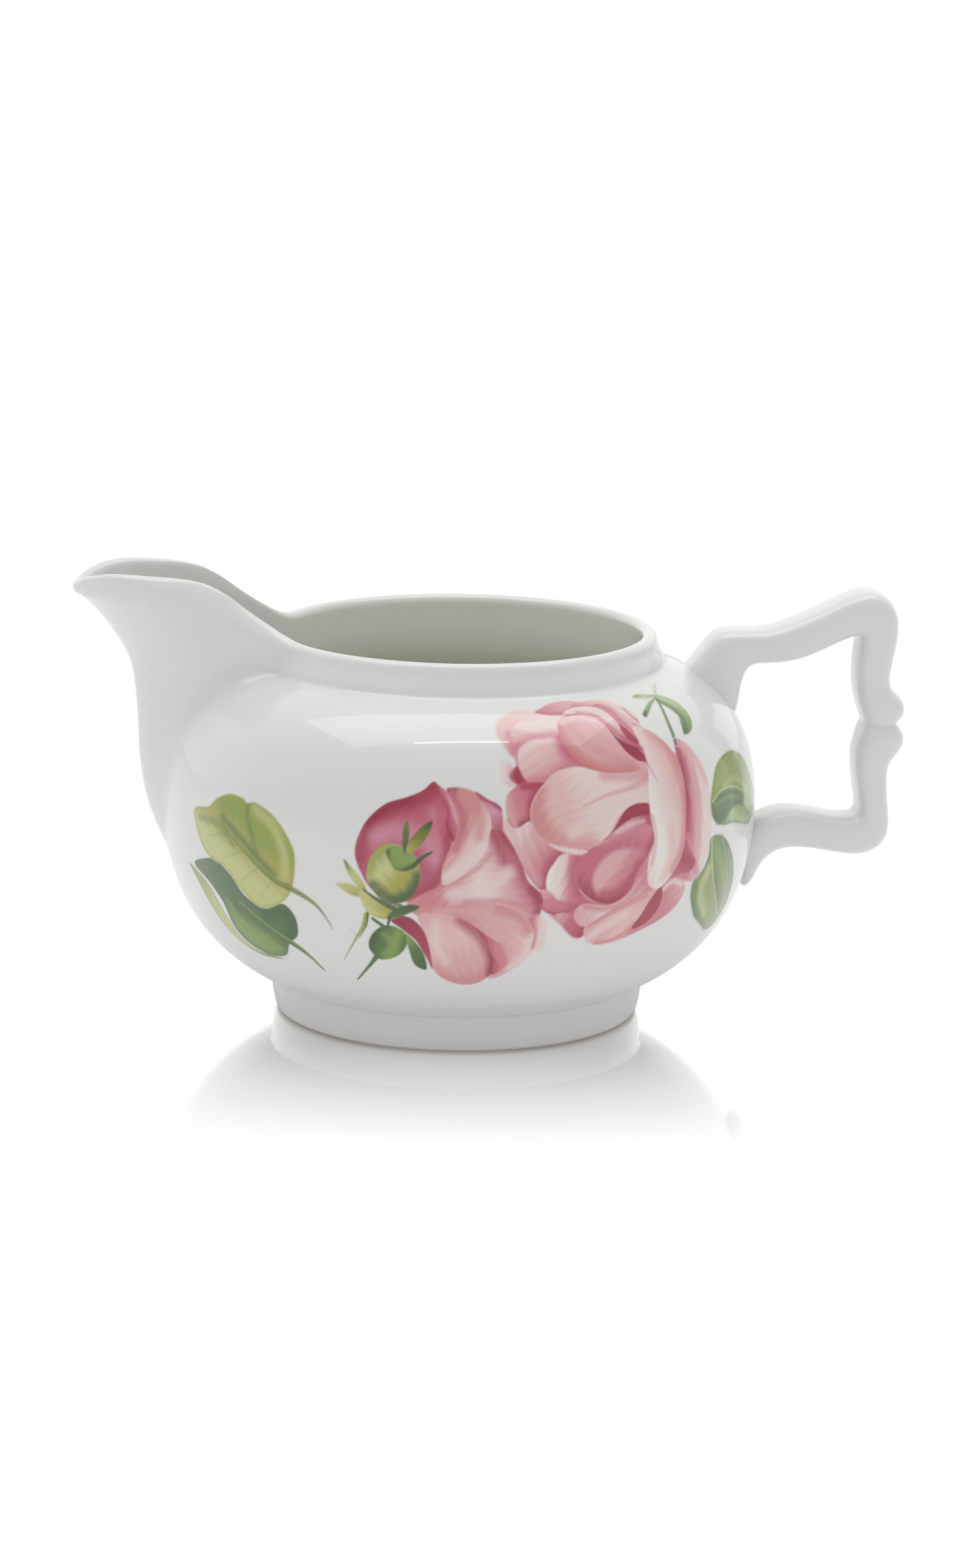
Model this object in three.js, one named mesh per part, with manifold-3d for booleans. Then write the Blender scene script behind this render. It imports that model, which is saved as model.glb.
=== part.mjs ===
// Porcelain cream jug: a round-bellied bowl on a foot ring, with a pouring spout and a scrolled handle.
// Four clay pieces are made apart and luted together with slip before firing: bowl, foot ring, spout, handle.
// Frame: millimetres, +Z up, the spout points to -X and the handle to +X. The origin is the middle of the
// jug's length and width, on the surface that the foot stands on.
import * as THREE from "three";
import { mergeVertices } from "three/addons/utils/BufferGeometryUtils.js";
import Module from "manifold-3d";

const wasm = await Module();
wasm.setup();

// ---- Driving dimensions -------------------------------------------------------------------------------
const WALL = 2.3; // fired thickness of the bowl and the spout
const JOINT_GAP = 0.3; // slip-filled gap between two luted pieces

const foot = {
  radius: 27.2, // at the surface it stands on
  topRadius: 27.9, // where it meets the bowl
  height: 5.4,
  ringWidth: 3.3,
  standWidth: 1.8, // flat unglazed face that it stands on
};
const floor = { underside: 2.9, top: 5.8 }; // the bowl's base, inside the foot ring

const belly = { radius: 45, height: 33 }; // the widest ring
const lip = { height: 58.8, round: 1.15 }; // crest of the mouth, and how its edge is rounded
const neck = {
  radius: 30.4, // at the foot of the collar
  topRadius: 29.5, // of the collar, just under the lip
  collar: 4, // from the end of the shoulder up to the crest of the lip
  step: 0.6, // how far the shoulder stands out from the collar
};

const spout = {
  reach: 58.5, // from the bowl's axis to the tip
  tipRise: 7.2, // of the tip above the lip
  halfWidth: 9.3, // of the channel, outside, near the tip
  flare: 5.2, // extra half width where the channel leaves the mouth
  flareStart: 23, // from the axis
  flareLength: 9.5,
  noseLength: 12.5, // how long the rounded end of the channel is
  nosePower: 0.8, // 0.5 is an elliptical end, and more is a more pointed one
  drop: 32.8, // from the lip down to where its root ends on the belly
  fillet: { low: 1.2, high: 4 }, // between the channel and the bowl, at the root and at the mouth
  bellySeam: 2.3, // from the channel out to the luted seam, down the belly
  collarSeam: 3, // and at the collar
};

const handle = {
  width: 8.8, // along Y
  round: 1.5, // rounding of its long edges
  waistDrop: 15.1, // from the lip down to the pinch between the two scrolls
  rawEnd: 6, // how far the raw ends reach in, before they are trimmed to the bowl
};

const SEGMENTS = 84; // round the bowl
const CROWDING = 0.62; // how far the segments crowd towards the spout, where the wall turns fastest
const CURVE_STEPS = 9; // points on each stretch of the profile
const NEVER = 1.5; // radians from the spout's line, past which the channel is out of reach

// ---- Heights that follow ------------------------------------------------------------------------------
const shoulderTop = lip.height - neck.collar;
const tipHeight = lip.height + spout.tipRise;
const rootEnd = lip.height - spout.drop;
const waistHeight = lip.height - handle.waistDrop;

// ---- Profile of the bowl ------------------------------------------------------------------------------
// Points are [radius, height].
const bezier = (a, b, c, d) =>
  new THREE.CubicBezierCurve(...[a, b, c, d].map((p) => new THREE.Vector2(...p)));
const mix = (a, b, share) => a + (b - a) * share;

const shoulderEnd = [neck.radius + neck.step, shoulderTop];
const lowerBelly = bezier(
  [foot.topRadius, foot.height],
  [mix(foot.topRadius, belly.radius, 0.6), mix(foot.height, belly.height, 0.16)],
  [belly.radius, mix(foot.height, belly.height, 0.46)],
  [belly.radius, belly.height],
);
const shoulder = bezier(
  [belly.radius, belly.height],
  [belly.radius, mix(belly.height, shoulderTop, 0.53)],
  [mix(shoulderEnd[0], belly.radius, 0.62), mix(shoulderTop, belly.height, 0.15)],
  shoulderEnd,
);
const innerMouth = neck.topRadius - WALL;
const innerBelly = belly.radius - WALL;
const innerShoulder = bezier(
  [innerMouth, shoulderTop - WALL],
  [mix(innerMouth, innerBelly, 0.72), shoulderTop - 2.3 * WALL],
  [innerBelly, mix(belly.height, shoulderTop, 0.47)],
  [innerBelly, belly.height],
);
const innerBase = bezier(
  [innerBelly, belly.height],
  [innerBelly, mix(floor.top, belly.height, 0.41)],
  [0.85 * belly.radius, floor.top + 0.3],
  [0, floor.top],
);

const points = (curve) => curve.getPoints(CURVE_STEPS).map((p) => [p.x, p.y]);
const footInner = foot.radius - foot.ringWidth;
const standOut = foot.radius - (foot.ringWidth - foot.standWidth) / 2;

// The outer skin, from the middle of the underside to the collar.
const outerSkin = [
  [0, floor.underside],
  [footInner, floor.underside],
  [standOut - foot.standWidth, 0],
  [standOut, 0],
  [foot.radius, 0.7],
  ...points(lowerBelly),
  ...points(shoulder).slice(1),
  [neck.radius, shoulderTop + neck.step / 2],
  [neck.topRadius, lip.height - lip.round],
];
// The rounded crest of the lip, then the inner skin down to the middle of the floor.
const crest = [
  [neck.topRadius - 0.35 * WALL, lip.height - 0.15 * lip.round],
  [neck.topRadius - 0.7 * WALL, lip.height - 0.1 * lip.round],
];
const innerSkin = [
  [innerMouth, lip.height - lip.round],
  ...points(innerShoulder),
  ...points(innerBase).slice(1),
];
const profile = [...outerSkin, ...crest, ...innerSkin];
// How deep each point of the profile lies in the wall.
const insetOf = (index) => {
  if (index < outerSkin.length) return 0;
  const onCrest = index - outerSkin.length;
  return onCrest < crest.length ? neck.topRadius - crest[onCrest][0] : WALL;
};

// ---- Spout --------------------------------------------------------------------------------------------
// Seen from above the channel has near-parallel walls and a rounded end; its end moves out with height.
const noseLine = new THREE.SplineCurve(
  [
    [belly.radius - 5, rootEnd - 3],
    [belly.radius + 0.4, rootEnd + 1.6],
    [mix(belly.radius, spout.reach, 0.2), rootEnd + 8],
    [mix(belly.radius, spout.reach, 0.28), mix(rootEnd, tipHeight, 0.42)],
    [mix(belly.radius, spout.reach, 0.33), mix(rootEnd, tipHeight, 0.64)],
    [mix(belly.radius, spout.reach, 0.57), mix(rootEnd, tipHeight, 0.83)],
    [spout.reach, tipHeight - lip.round],
  ].map((p) => new THREE.Vector2(...p)),
).getPoints(60);

// How far the spout reaches from the axis at a height.
function noseReach(height) {
  if (height <= noseLine[0].y) return noseLine[0].x;
  for (let i = 1; i < noseLine.length; i++) {
    const [low, high] = [noseLine[i - 1], noseLine[i]];
    if (height <= high.y) return mix(low.x, high.x, (height - low.y) / (high.y - low.y));
  }
  return spout.reach;
}

// Half the channel's width at a distance along it from the axis, for a channel that ends at `end`.
function channelHalfWidth(along, end, inset) {
  const widening = Math.exp((spout.flareStart - along) / spout.flareLength);
  const flare = spout.flare * Math.min(2, widening);
  const nose = spout.noseLength - inset;
  const past = Math.max(0, (along - end + nose) / nose);
  return (spout.halfWidth + flare - inset) * Math.max(0, 1 - past * past) ** spout.nosePower;
}

// Distance from the axis to the channel's wall, along a ray that leaves the axis at an angle from -X.
function channelRadius(angle, height, inset) {
  const away = Math.min(Math.abs(angle), NEVER);
  const end = noseReach(height) - inset;
  let [low, high] = [0, end];
  for (let i = 0; i < 40; i++) {
    const along = (low + high) / 2;
    if (along * Math.tan(away) < channelHalfWidth(along, end, inset)) low = along;
    else high = along;
  }
  return low / Math.cos(away);
}

// Height of the pouring edge above the mouth's own lip, by how far out along the spout the edge is.
const edgeLine = new THREE.SplineCurve(
  [
    [neck.radius - 5, lip.height],
    [neck.radius + 1.6, mix(lip.height, tipHeight, 0.28)],
    [mix(neck.radius, spout.reach, 0.27), mix(lip.height, tipHeight, 0.69)],
    [mix(neck.radius, spout.reach, 0.49), tipHeight + 0.7],
    [mix(neck.radius, spout.reach, 0.73), tipHeight + 2.3],
    [mix(neck.radius, spout.reach, 0.88), tipHeight + 1.7],
    [spout.reach, tipHeight],
  ].map((p) => new THREE.Vector2(...p)),
).getPoints(60);
function edgeLift(along) {
  for (let i = 1; i < edgeLine.length; i++) {
    const [near, far] = [edgeLine[i - 1], edgeLine[i]];
    if (along <= far.x) {
      const share = Math.max(0, (along - near.x) / (far.x - near.x));
      return mix(near.y, far.y, share) - lip.height;
    }
  }
  return tipHeight - lip.height;
}

// The larger of two radii, with a soft fillet where they are nearly equal.
function softMax(a, b, fillet) {
  const near = Math.max(0, fillet - Math.abs(a - b)) / fillet;
  return Math.max(a, b) + (near * near * fillet) / 4;
}

// Pulls the spout out of a turned surface: insets say how deep each ring of vertices lies in the wall.
function pullSpout(geometry, insets) {
  const position = geometry.getAttribute("position");
  const liftStart = rootEnd + 4;
  const liftEnd = lip.height - lip.round;
  for (let i = 0; i < position.count; i++) {
    const radius = Math.hypot(position.getX(i), position.getY(i));
    const around = Math.atan2(position.getY(i), -position.getX(i));
    const angle = around - CROWDING * Math.sin(around) * Math.cos(around / 2) ** 6;
    const inset = insets[i % insets.length];
    const edge = channelRadius(angle, tipHeight, 0) * Math.cos(angle);
    let height = position.getZ(i);
    const rise = Math.max(0, (Math.min(height, liftEnd) - liftStart) / (liftEnd - liftStart));
    height += Math.max(0, edgeLift(edge)) * rise * rise;
    const fillet = mix(spout.fillet.low, spout.fillet.high, Math.min(1, rise * 1.5));
    const pulled = softMax(radius, channelRadius(angle, height, inset), fillet);
    const reach = height > rootEnd - 3 ? pulled : radius;
    position.setXYZ(i, -reach * Math.cos(angle), reach * Math.sin(angle), height);
  }
  return geometry;
}

// ---- Solids -------------------------------------------------------------------------------------------
// A closed three.js geometry as a manifold-3d solid.
function solid(geometry) {
  const bare = new THREE.BufferGeometry().setAttribute(
    "position",
    (geometry.index ? geometry.toNonIndexed() : geometry).getAttribute("position"),
  );
  const merged = mergeVertices(bare, 1e-4);
  const triVerts = new Uint32Array(merged.index.array);
  const vertProperties = merged.attributes.position.array;
  return new wasm.Manifold(new wasm.Mesh({ numProp: 3, vertProperties, triVerts }));
}

// A turned solid about +Z, from [radius, height] points.
function turned(outline, segments = SEGMENTS) {
  return new THREE.LatheGeometry(
    outline.map((p) => new THREE.Vector2(...p)),
    segments,
  ).rotateX(Math.PI / 2);
}

const jug = solid(pullSpout(turned(profile), profile.map((_, index) => insetOf(index))));

// The bowl as a solid plug, grown by a gap: it trims what is luted on from outside.
function plug(gap) {
  const skin = outerSkin.map(([radius, height]) => {
    const away = height > belly.height ? gap : -gap;
    return [radius > 0 ? radius + gap : 0, height + away];
  });
  return solid(turned([...skin, [0, lip.height - lip.round + gap]]));
}

// The seam of the spout, seen along X: a shield, wide at the collar and rounded at the belly.
function shield(grow) {
  const half = spout.halfWidth + spout.bellySeam + grow;
  const wide = spout.halfWidth + spout.flare + spout.collarSeam + grow;
  const above = tipHeight + 20;
  const bend = rootEnd + 12;
  const outline = new THREE.Shape();
  outline.moveTo(wide, above);
  outline.lineTo(wide, shoulderTop);
  outline.bezierCurveTo(half + 2, shoulderTop - 3, half, shoulderTop - 7, half, bend);
  outline.absellipse(0, bend, half, bend - rootEnd + grow, 0, Math.PI, true);
  outline.bezierCurveTo(-half, shoulderTop - 7, -half - 2, shoulderTop - 3, -wide, shoulderTop);
  outline.lineTo(-wide, above);
  const block = new THREE.ExtrudeGeometry(outline, {
    depth: spout.reach + 20,
    bevelEnabled: false,
    curveSegments: 10,
  });
  // The outline's own x becomes Y and its y becomes Z, and the block runs out along -X.
  const axes = [[0, -1, 0], [0, 0, 1], [-1, 0, 0]].map((axis) => new THREE.Vector3(...axis));
  return solid(block.applyMatrix4(new THREE.Matrix4().makeBasis(...axes)));
}

// The foot ring's own region, under the bowl.
function footRegion(gap) {
  const inner = footInner - gap;
  const outer = foot.radius + 10;
  const top = foot.height + gap - JOINT_GAP;
  return solid(turned([[inner, -5], [outer, -5], [outer, top], [inner, top], [inner, -5]]));
}

// ---- Handle -------------------------------------------------------------------------------------------
// Two scrolls, back to back. Points are [out from the belly, up from the waist].
const handleOuter = [
  [-7.7, 11], [-6.3, 13.5], [-4.9, 14.6], [-2.1, 14.4], [0.9, 14.4], [5.9, 15.8], [9.5, 17.3],
  [14.3, 19.7], [16.3, 20.2], [18.3, 19.8], [20.4, 18], [21.5, 15.2], [21.3, 12.7], [20.6, 8.8],
  [20.5, 5.9], [22.3, 3.9], [22.9, 2.2], [22, 0], [23.5, -2.7], [22.4, -4.5], [20.8, -6.3],
  [20.5, -9.7], [21.1, -13.7], [21.1, -17.1], [19.7, -19.3], [17, -20.3], [12.8, -19.8],
  [8.3, -18.9], [5.3, -19.2], [2.4, -20.8], [0.7, -23.5], [-0.4, -25.1], [-2.5, -25.7],
];
const handleInner = [
  [0.9, -14.7], [3.5, -13.5], [5.2, -13.2], [7.4, -13.4], [11.7, -14.3], [13.8, -14.7],
  [15.7, -14.3], [16.4, -12.7], [16, -8.2], [15.8, -4.2], [16.4, -2], [17.1, 0.1], [16.8, 1.9],
  [15.9, 4.5], [15.6, 7.3], [15.9, 11.8], [16, 13.6], [14.8, 13.9], [13, 13.2], [10.2, 11.8],
  [7.4, 10.6], [5.2, 9.8], [2.4, 9.4], [-0.1, 9.3], [-1.2, 8.8], [-1.6, 7.3], [-2.1, 2.3],
];
const handleReach = Math.max(...handleOuter.map(([out]) => out));

function handleSolid() {
  const place = ([out, up]) => new THREE.Vector2(belly.radius + out, waistHeight + up);
  const outline = new THREE.Shape();
  const start = place(handleOuter[0]);
  outline.moveTo(start.x, start.y);
  outline.splineThru(handleOuter.slice(1).map(place));
  const tail = place(handleOuter.at(-1));
  const lowerRoot = place(handleInner[0]);
  outline.lineTo(tail.x - handle.rawEnd, tail.y);
  outline.lineTo(lowerRoot.x - handle.rawEnd, lowerRoot.y);
  outline.lineTo(lowerRoot.x, lowerRoot.y);
  outline.splineThru(handleInner.slice(1).map(place));
  const upperRoot = place(handleInner.at(-1));
  outline.lineTo(upperRoot.x - 1.6 * handle.rawEnd, upperRoot.y);
  outline.lineTo(start.x - 0.6 * handle.rawEnd, start.y - handle.rawEnd);
  const raw = new THREE.ExtrudeGeometry(outline, {
    depth: handle.width - 2 * handle.round,
    bevelEnabled: true,
    bevelThickness: handle.round,
    bevelSize: handle.round,
    bevelOffset: -handle.round,
    bevelSegments: 2,
    curveSegments: 2,
  });
  raw.translate(0, 0, handle.round - handle.width / 2).rotateX(Math.PI / 2);
  return solid(raw).subtract(plug(JOINT_GAP));
}

// ---- Nodes --------------------------------------------------------------------------------------------
const porcelain = { color: 0xeeeeec, roughness: 0.12, metalness: 0 };
const bisque = { color: 0xe6e3dc, roughness: 0.55, metalness: 0 };

// The middle of the length, so that the origin is the middle of the jug's box.
const axisX = (spout.reach - belly.radius - handleReach) / 2;
const group = new THREE.Group();

function addNode(name, shape, finish) {
  const { numProp, vertProperties, triVerts } = shape.getMesh();
  const positions = new THREE.InterleavedBufferAttribute(
    new THREE.InterleavedBuffer(new Float32Array(vertProperties), numProp), 3, 0,
  );
  const geometry = new THREE.BufferGeometry()
    .setAttribute("position", positions)
    .setIndex(new THREE.BufferAttribute(new Uint32Array(triVerts), 1));
  const mesh = new THREE.Mesh(geometry.toNonIndexed(), new THREE.MeshStandardMaterial(finish));
  mesh.geometry.computeVertexNormals();
  mesh.name = name;
  mesh.position.x = axisX;
  group.add(mesh);
}

addNode("bowl", jug.subtract(shield(JOINT_GAP)).subtract(footRegion(JOINT_GAP)), porcelain);
addNode("spout", jug.intersect(shield(0)), porcelain);
addNode("foot_ring", jug.intersect(footRegion(0)), bisque);
addNode("handle", handleSolid(), porcelain);

export default group;
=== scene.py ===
"""A painted porcelain cream jug: body with its spout, foot ring, scrolled handle and enamel roses."""

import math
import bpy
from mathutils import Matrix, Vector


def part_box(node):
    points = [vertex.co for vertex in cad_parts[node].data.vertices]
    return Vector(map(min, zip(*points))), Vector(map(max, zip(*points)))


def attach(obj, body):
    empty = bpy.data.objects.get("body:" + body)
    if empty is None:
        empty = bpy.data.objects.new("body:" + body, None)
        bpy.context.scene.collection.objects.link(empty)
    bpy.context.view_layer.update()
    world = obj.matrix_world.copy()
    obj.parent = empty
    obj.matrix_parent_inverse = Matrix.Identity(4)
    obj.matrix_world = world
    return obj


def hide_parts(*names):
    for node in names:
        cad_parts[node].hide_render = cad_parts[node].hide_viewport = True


bl_info = {
    "name": "Porcelain Cream Jug",
    "version": (1, 0, 0),
    "blender": (4, 5, 0),
    "location": "3D Viewport > Sidebar > Cream Jug",
    "description": "Models a round-bellied porcelain cream jug, painted with enamel roses",
    "category": "Add Mesh",
}

import bmesh
import bpy
import numpy as np
from mathutils import Euler, Matrix, Vector

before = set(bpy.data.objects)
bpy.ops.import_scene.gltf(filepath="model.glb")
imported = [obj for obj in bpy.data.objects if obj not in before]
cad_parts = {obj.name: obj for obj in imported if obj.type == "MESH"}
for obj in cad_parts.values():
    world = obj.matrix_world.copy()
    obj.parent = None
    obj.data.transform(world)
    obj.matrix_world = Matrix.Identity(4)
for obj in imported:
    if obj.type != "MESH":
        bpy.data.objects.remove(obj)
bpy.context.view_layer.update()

MM = 0.001
ENAMEL_THICKNESS, ENAMEL_PROUD = 0.07, 0.015  # of the painting, and how far it stands out of the glaze
foot_low, foot_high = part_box("foot_ring")
bowl_low, bowl_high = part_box("bowl")
handle_low, handle_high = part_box("handle")
spout_low, spout_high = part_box("spout")

AXIS_X = (foot_low[0] + foot_high[0]) / 2 / MM  # of the turned bowl, in millimetres
BELLY = (bowl_high[1] - bowl_low[1]) / 2 / MM
LIP = bowl_high[2] / MM + 0.1
REACH = AXIS_X - spout_low[0] / MM
HANDLE_REACH = handle_high[0] / MM - AXIS_X


# ---- Sizes and colours --------------------------------------------------------------------------------


def size(name, description, default):
    """A length in millimetres."""
    return bpy.props.FloatProperty(name=name, description=description, default=default, min=0.0)


def colour(name, description, default):
    """A linear colour."""
    return bpy.props.FloatVectorProperty(
        name=name, description=description, default=default, size=3, min=0.0, max=1.0, subtype="COLOR"
    )


class JugSizes(bpy.types.PropertyGroup):
    """Lengths that shape the jug"""

    belly_radius: size("Belly radius", "Widest radius of the bowl, mm", BELLY)
    belly_height: size("Belly height", "Height of the widest ring, mm", 33.0)
    lip_height: size("Lip height", "Height of the mouth's rounded lip, mm", LIP)
    collar: size("Collar", "Height of the collar under the lip, mm", 4.75)
    mouth_radius: size("Mouth radius", "Outer radius of the collar under the lip, mm", 29.5)
    wall: size("Wall", "Thickness of the fired wall, mm", 2.3)
    foot_radius: size("Foot radius", "Radius of the bowl where it meets the foot ring, mm", 27.9)
    foot_height: size("Foot height", "Height of the foot ring, mm", 5.4)
    spout_reach: size("Spout reach", "From the bowl's axis to the spout's tip, mm", REACH)
    spout_width: size("Spout half width", "Half the width of the pouring channel, mm", 9.2)
    spout_flare: size("Spout flare", "Extra half width where the channel leaves the mouth, mm", 5.2)
    handle_width: size("Handle width", "Width of the handle from side to side, mm", 8.8)
    segments: bpy.props.IntProperty(
        name="Segments", description="Vertices round the mouth's outline", default=360, min=48, max=480
    )


class JugColours(bpy.types.PropertyGroup):
    """Colours of the clay under its glaze, and a painted warm shade for the inside"""

    porcelain: colour("Porcelain", "Glazed white body", (0.80, 0.80, 0.785))
    # Painted warm shade for the inside of the bowl and spout: the light that turns warm in the hollow,
    # laid on as colour
    painted_inside_shade: colour("Hollow", "The inside, where light turns warm", (0.83, 0.83, 0.765))
    bisque: colour("Bisque", "Bare clay of the standing edge", (0.55, 0.50, 0.43))


def enamel(name, default):
    """One of the painter's colours."""
    return colour(name, "Painted enamel", default)


class EnamelColours(bpy.types.PropertyGroup):
    """Colours of the painting"""

    porcelain: enamel("Porcelain", (0.82, 0.82, 0.79))
    white: enamel("White", (0.88, 0.83, 0.80))
    cream: enamel("Cream", (0.83, 0.67, 0.64))
    peach: enamel("Peach", (0.80, 0.52, 0.49))
    blush: enamel("Blush", (0.74, 0.40, 0.42))
    pink: enamel("Pink", (0.65, 0.21, 0.26))
    salmon: enamel("Salmon", (0.67, 0.27, 0.27))
    salmon_deep: enamel("Salmon deep", (0.62, 0.19, 0.19))
    rose: enamel("Rose", (0.56, 0.12, 0.20))
    lilac: enamel("Lilac", (0.70, 0.32, 0.42))
    mauve: enamel("Mauve", (0.49, 0.075, 0.15))
    raspberry: enamel("Raspberry", (0.41, 0.03, 0.07))
    crimson: enamel("Crimson", (0.38, 0.02, 0.06))
    wine: enamel("Wine", (0.29, 0.00, 0.04))
    lime: enamel("Lime", (0.57, 0.58, 0.24))
    moss: enamel("Moss", (0.40, 0.38, 0.06))
    olive_light: enamel("Olive light", (0.28, 0.35, 0.04))
    olive: enamel("Olive", (0.18, 0.21, 0.01))
    leaf: enamel("Leaf", (0.20, 0.31, 0.045))
    fern: enamel("Fern", (0.07, 0.15, 0.02))
    sage: enamel("Sage", (0.225, 0.335, 0.065))
    sage_dark: enamel("Sage dark", (0.07, 0.15, 0.05))
    sage_pale: enamel("Sage pale", (0.40, 0.54, 0.25))
    pine: enamel("Pine", (0.03, 0.09, 0.01))


# ---- Mesh helpers -------------------------------------------------------------------------------------


def bezier(a, b, c, d, count):
    """Points on a cubic Bezier, without its last one."""
    t = np.arange(count)[:, None] / count
    a, b, c, d = (np.array(p, float) for p in (a, b, c, d))
    return a * (1 - t) ** 3 + 3 * b * t * (1 - t) ** 2 + 3 * c * t**2 * (1 - t) + d * t**3


def spline(p, steps):
    """A smooth curve through all points but the first and the last, which only steer its ends."""
    t = (np.arange(steps) / steps)[:, None]
    return np.vstack([
        0.5 * (2 * b + (c - a) * t + (2 * a - 5 * b + 4 * c - d) * t**2 + (3 * b - a - 3 * c + d) * t**3)
        for a, b, c, d in zip(p, p[1:], p[2:], p[3:])
    ])


def through(points, steps=12):
    """A smooth open curve through points."""
    p = np.array(points, float)
    p = np.vstack([2 * p[0] - p[1], p, 2 * p[-1] - p[-2]])
    return np.vstack([spline(p, steps), p[-2]])


def mix(a, b, share):
    """What lies a share of the way from a to b."""
    return a + (b - a) * share


def deselect():
    """Leaves edit mode with nothing selected."""
    if bpy.context.object and bpy.context.object.mode != "OBJECT":
        bpy.ops.object.mode_set(mode="OBJECT")
    bpy.ops.object.select_all(action="DESELECT")


def only(obj):
    """Selects one object and makes it active."""
    deselect()
    obj.select_set(True)
    bpy.context.view_layer.objects.active = obj


def new_object(name, points, edges=(), faces=()):
    """A mesh object from points in millimetres."""
    mesh = bpy.data.meshes.new(name)
    mesh.from_pydata([tuple(p) for p in np.asarray(points) * MM], list(edges), list(faces))
    obj = bpy.data.objects.new(name, mesh)
    bpy.context.scene.collection.objects.link(obj)
    only(obj)
    return obj


def points_of(obj):
    """The mesh's vertices as an array, in millimetres."""
    flat = np.empty(len(obj.data.vertices) * 3)
    obj.data.vertices.foreach_get("co", flat)
    return flat.reshape(-1, 3) / MM


def set_points(obj, points):
    """Moves the mesh's vertices to points in millimetres."""
    obj.data.vertices.foreach_set("co", (points * MM).ravel())
    obj.data.update()


def spin(obj, steps):
    """Turns a profile in the XZ plane once round the jug's axis, and closes it."""
    only(obj)
    bpy.ops.object.mode_set(mode="EDIT")
    bpy.ops.mesh.select_all(action="SELECT")
    bpy.ops.mesh.spin(steps=steps, angle=math.tau, center=(AXIS_X * MM, 0, 0), axis=(0, 0, 1))
    bpy.ops.mesh.select_all(action="SELECT")
    bpy.ops.mesh.remove_doubles(threshold=0.002 * MM)
    bpy.ops.mesh.select_all(action="SELECT")
    bpy.ops.mesh.normals_make_consistent(inside=False)
    bpy.ops.object.mode_set(mode="OBJECT")


def finish_piece(obj, material, nodes=()):
    """Smooth shading, a finish, and its place in the frame."""
    only(obj)
    bpy.ops.object.shade_smooth()
    obj.data.materials.clear()
    obj.data.materials.append(material)
    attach(obj, "root")
    if nodes:
        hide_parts(*nodes)


# ---- Form of the jug ----------------------------------------------------------------------------------

TIP_RISE = 7.2  # of the spout's tip above the lip, mm
ROOT_DROP = 33  # of the spout's root below the lip, mm
RECESS, FLOOR = 2.9, 5.8  # heights of the bowl's underside and of its inside floor, mm
NOSE = 12.5  # length over which the spout rounds to its tip, mm
FOOT_LEDGE = 0.45  # how far the foot ring stands out from the bowl, mm
BARE_EDGE = 0.3  # height of the unglazed clay above the standing edge, mm


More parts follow.
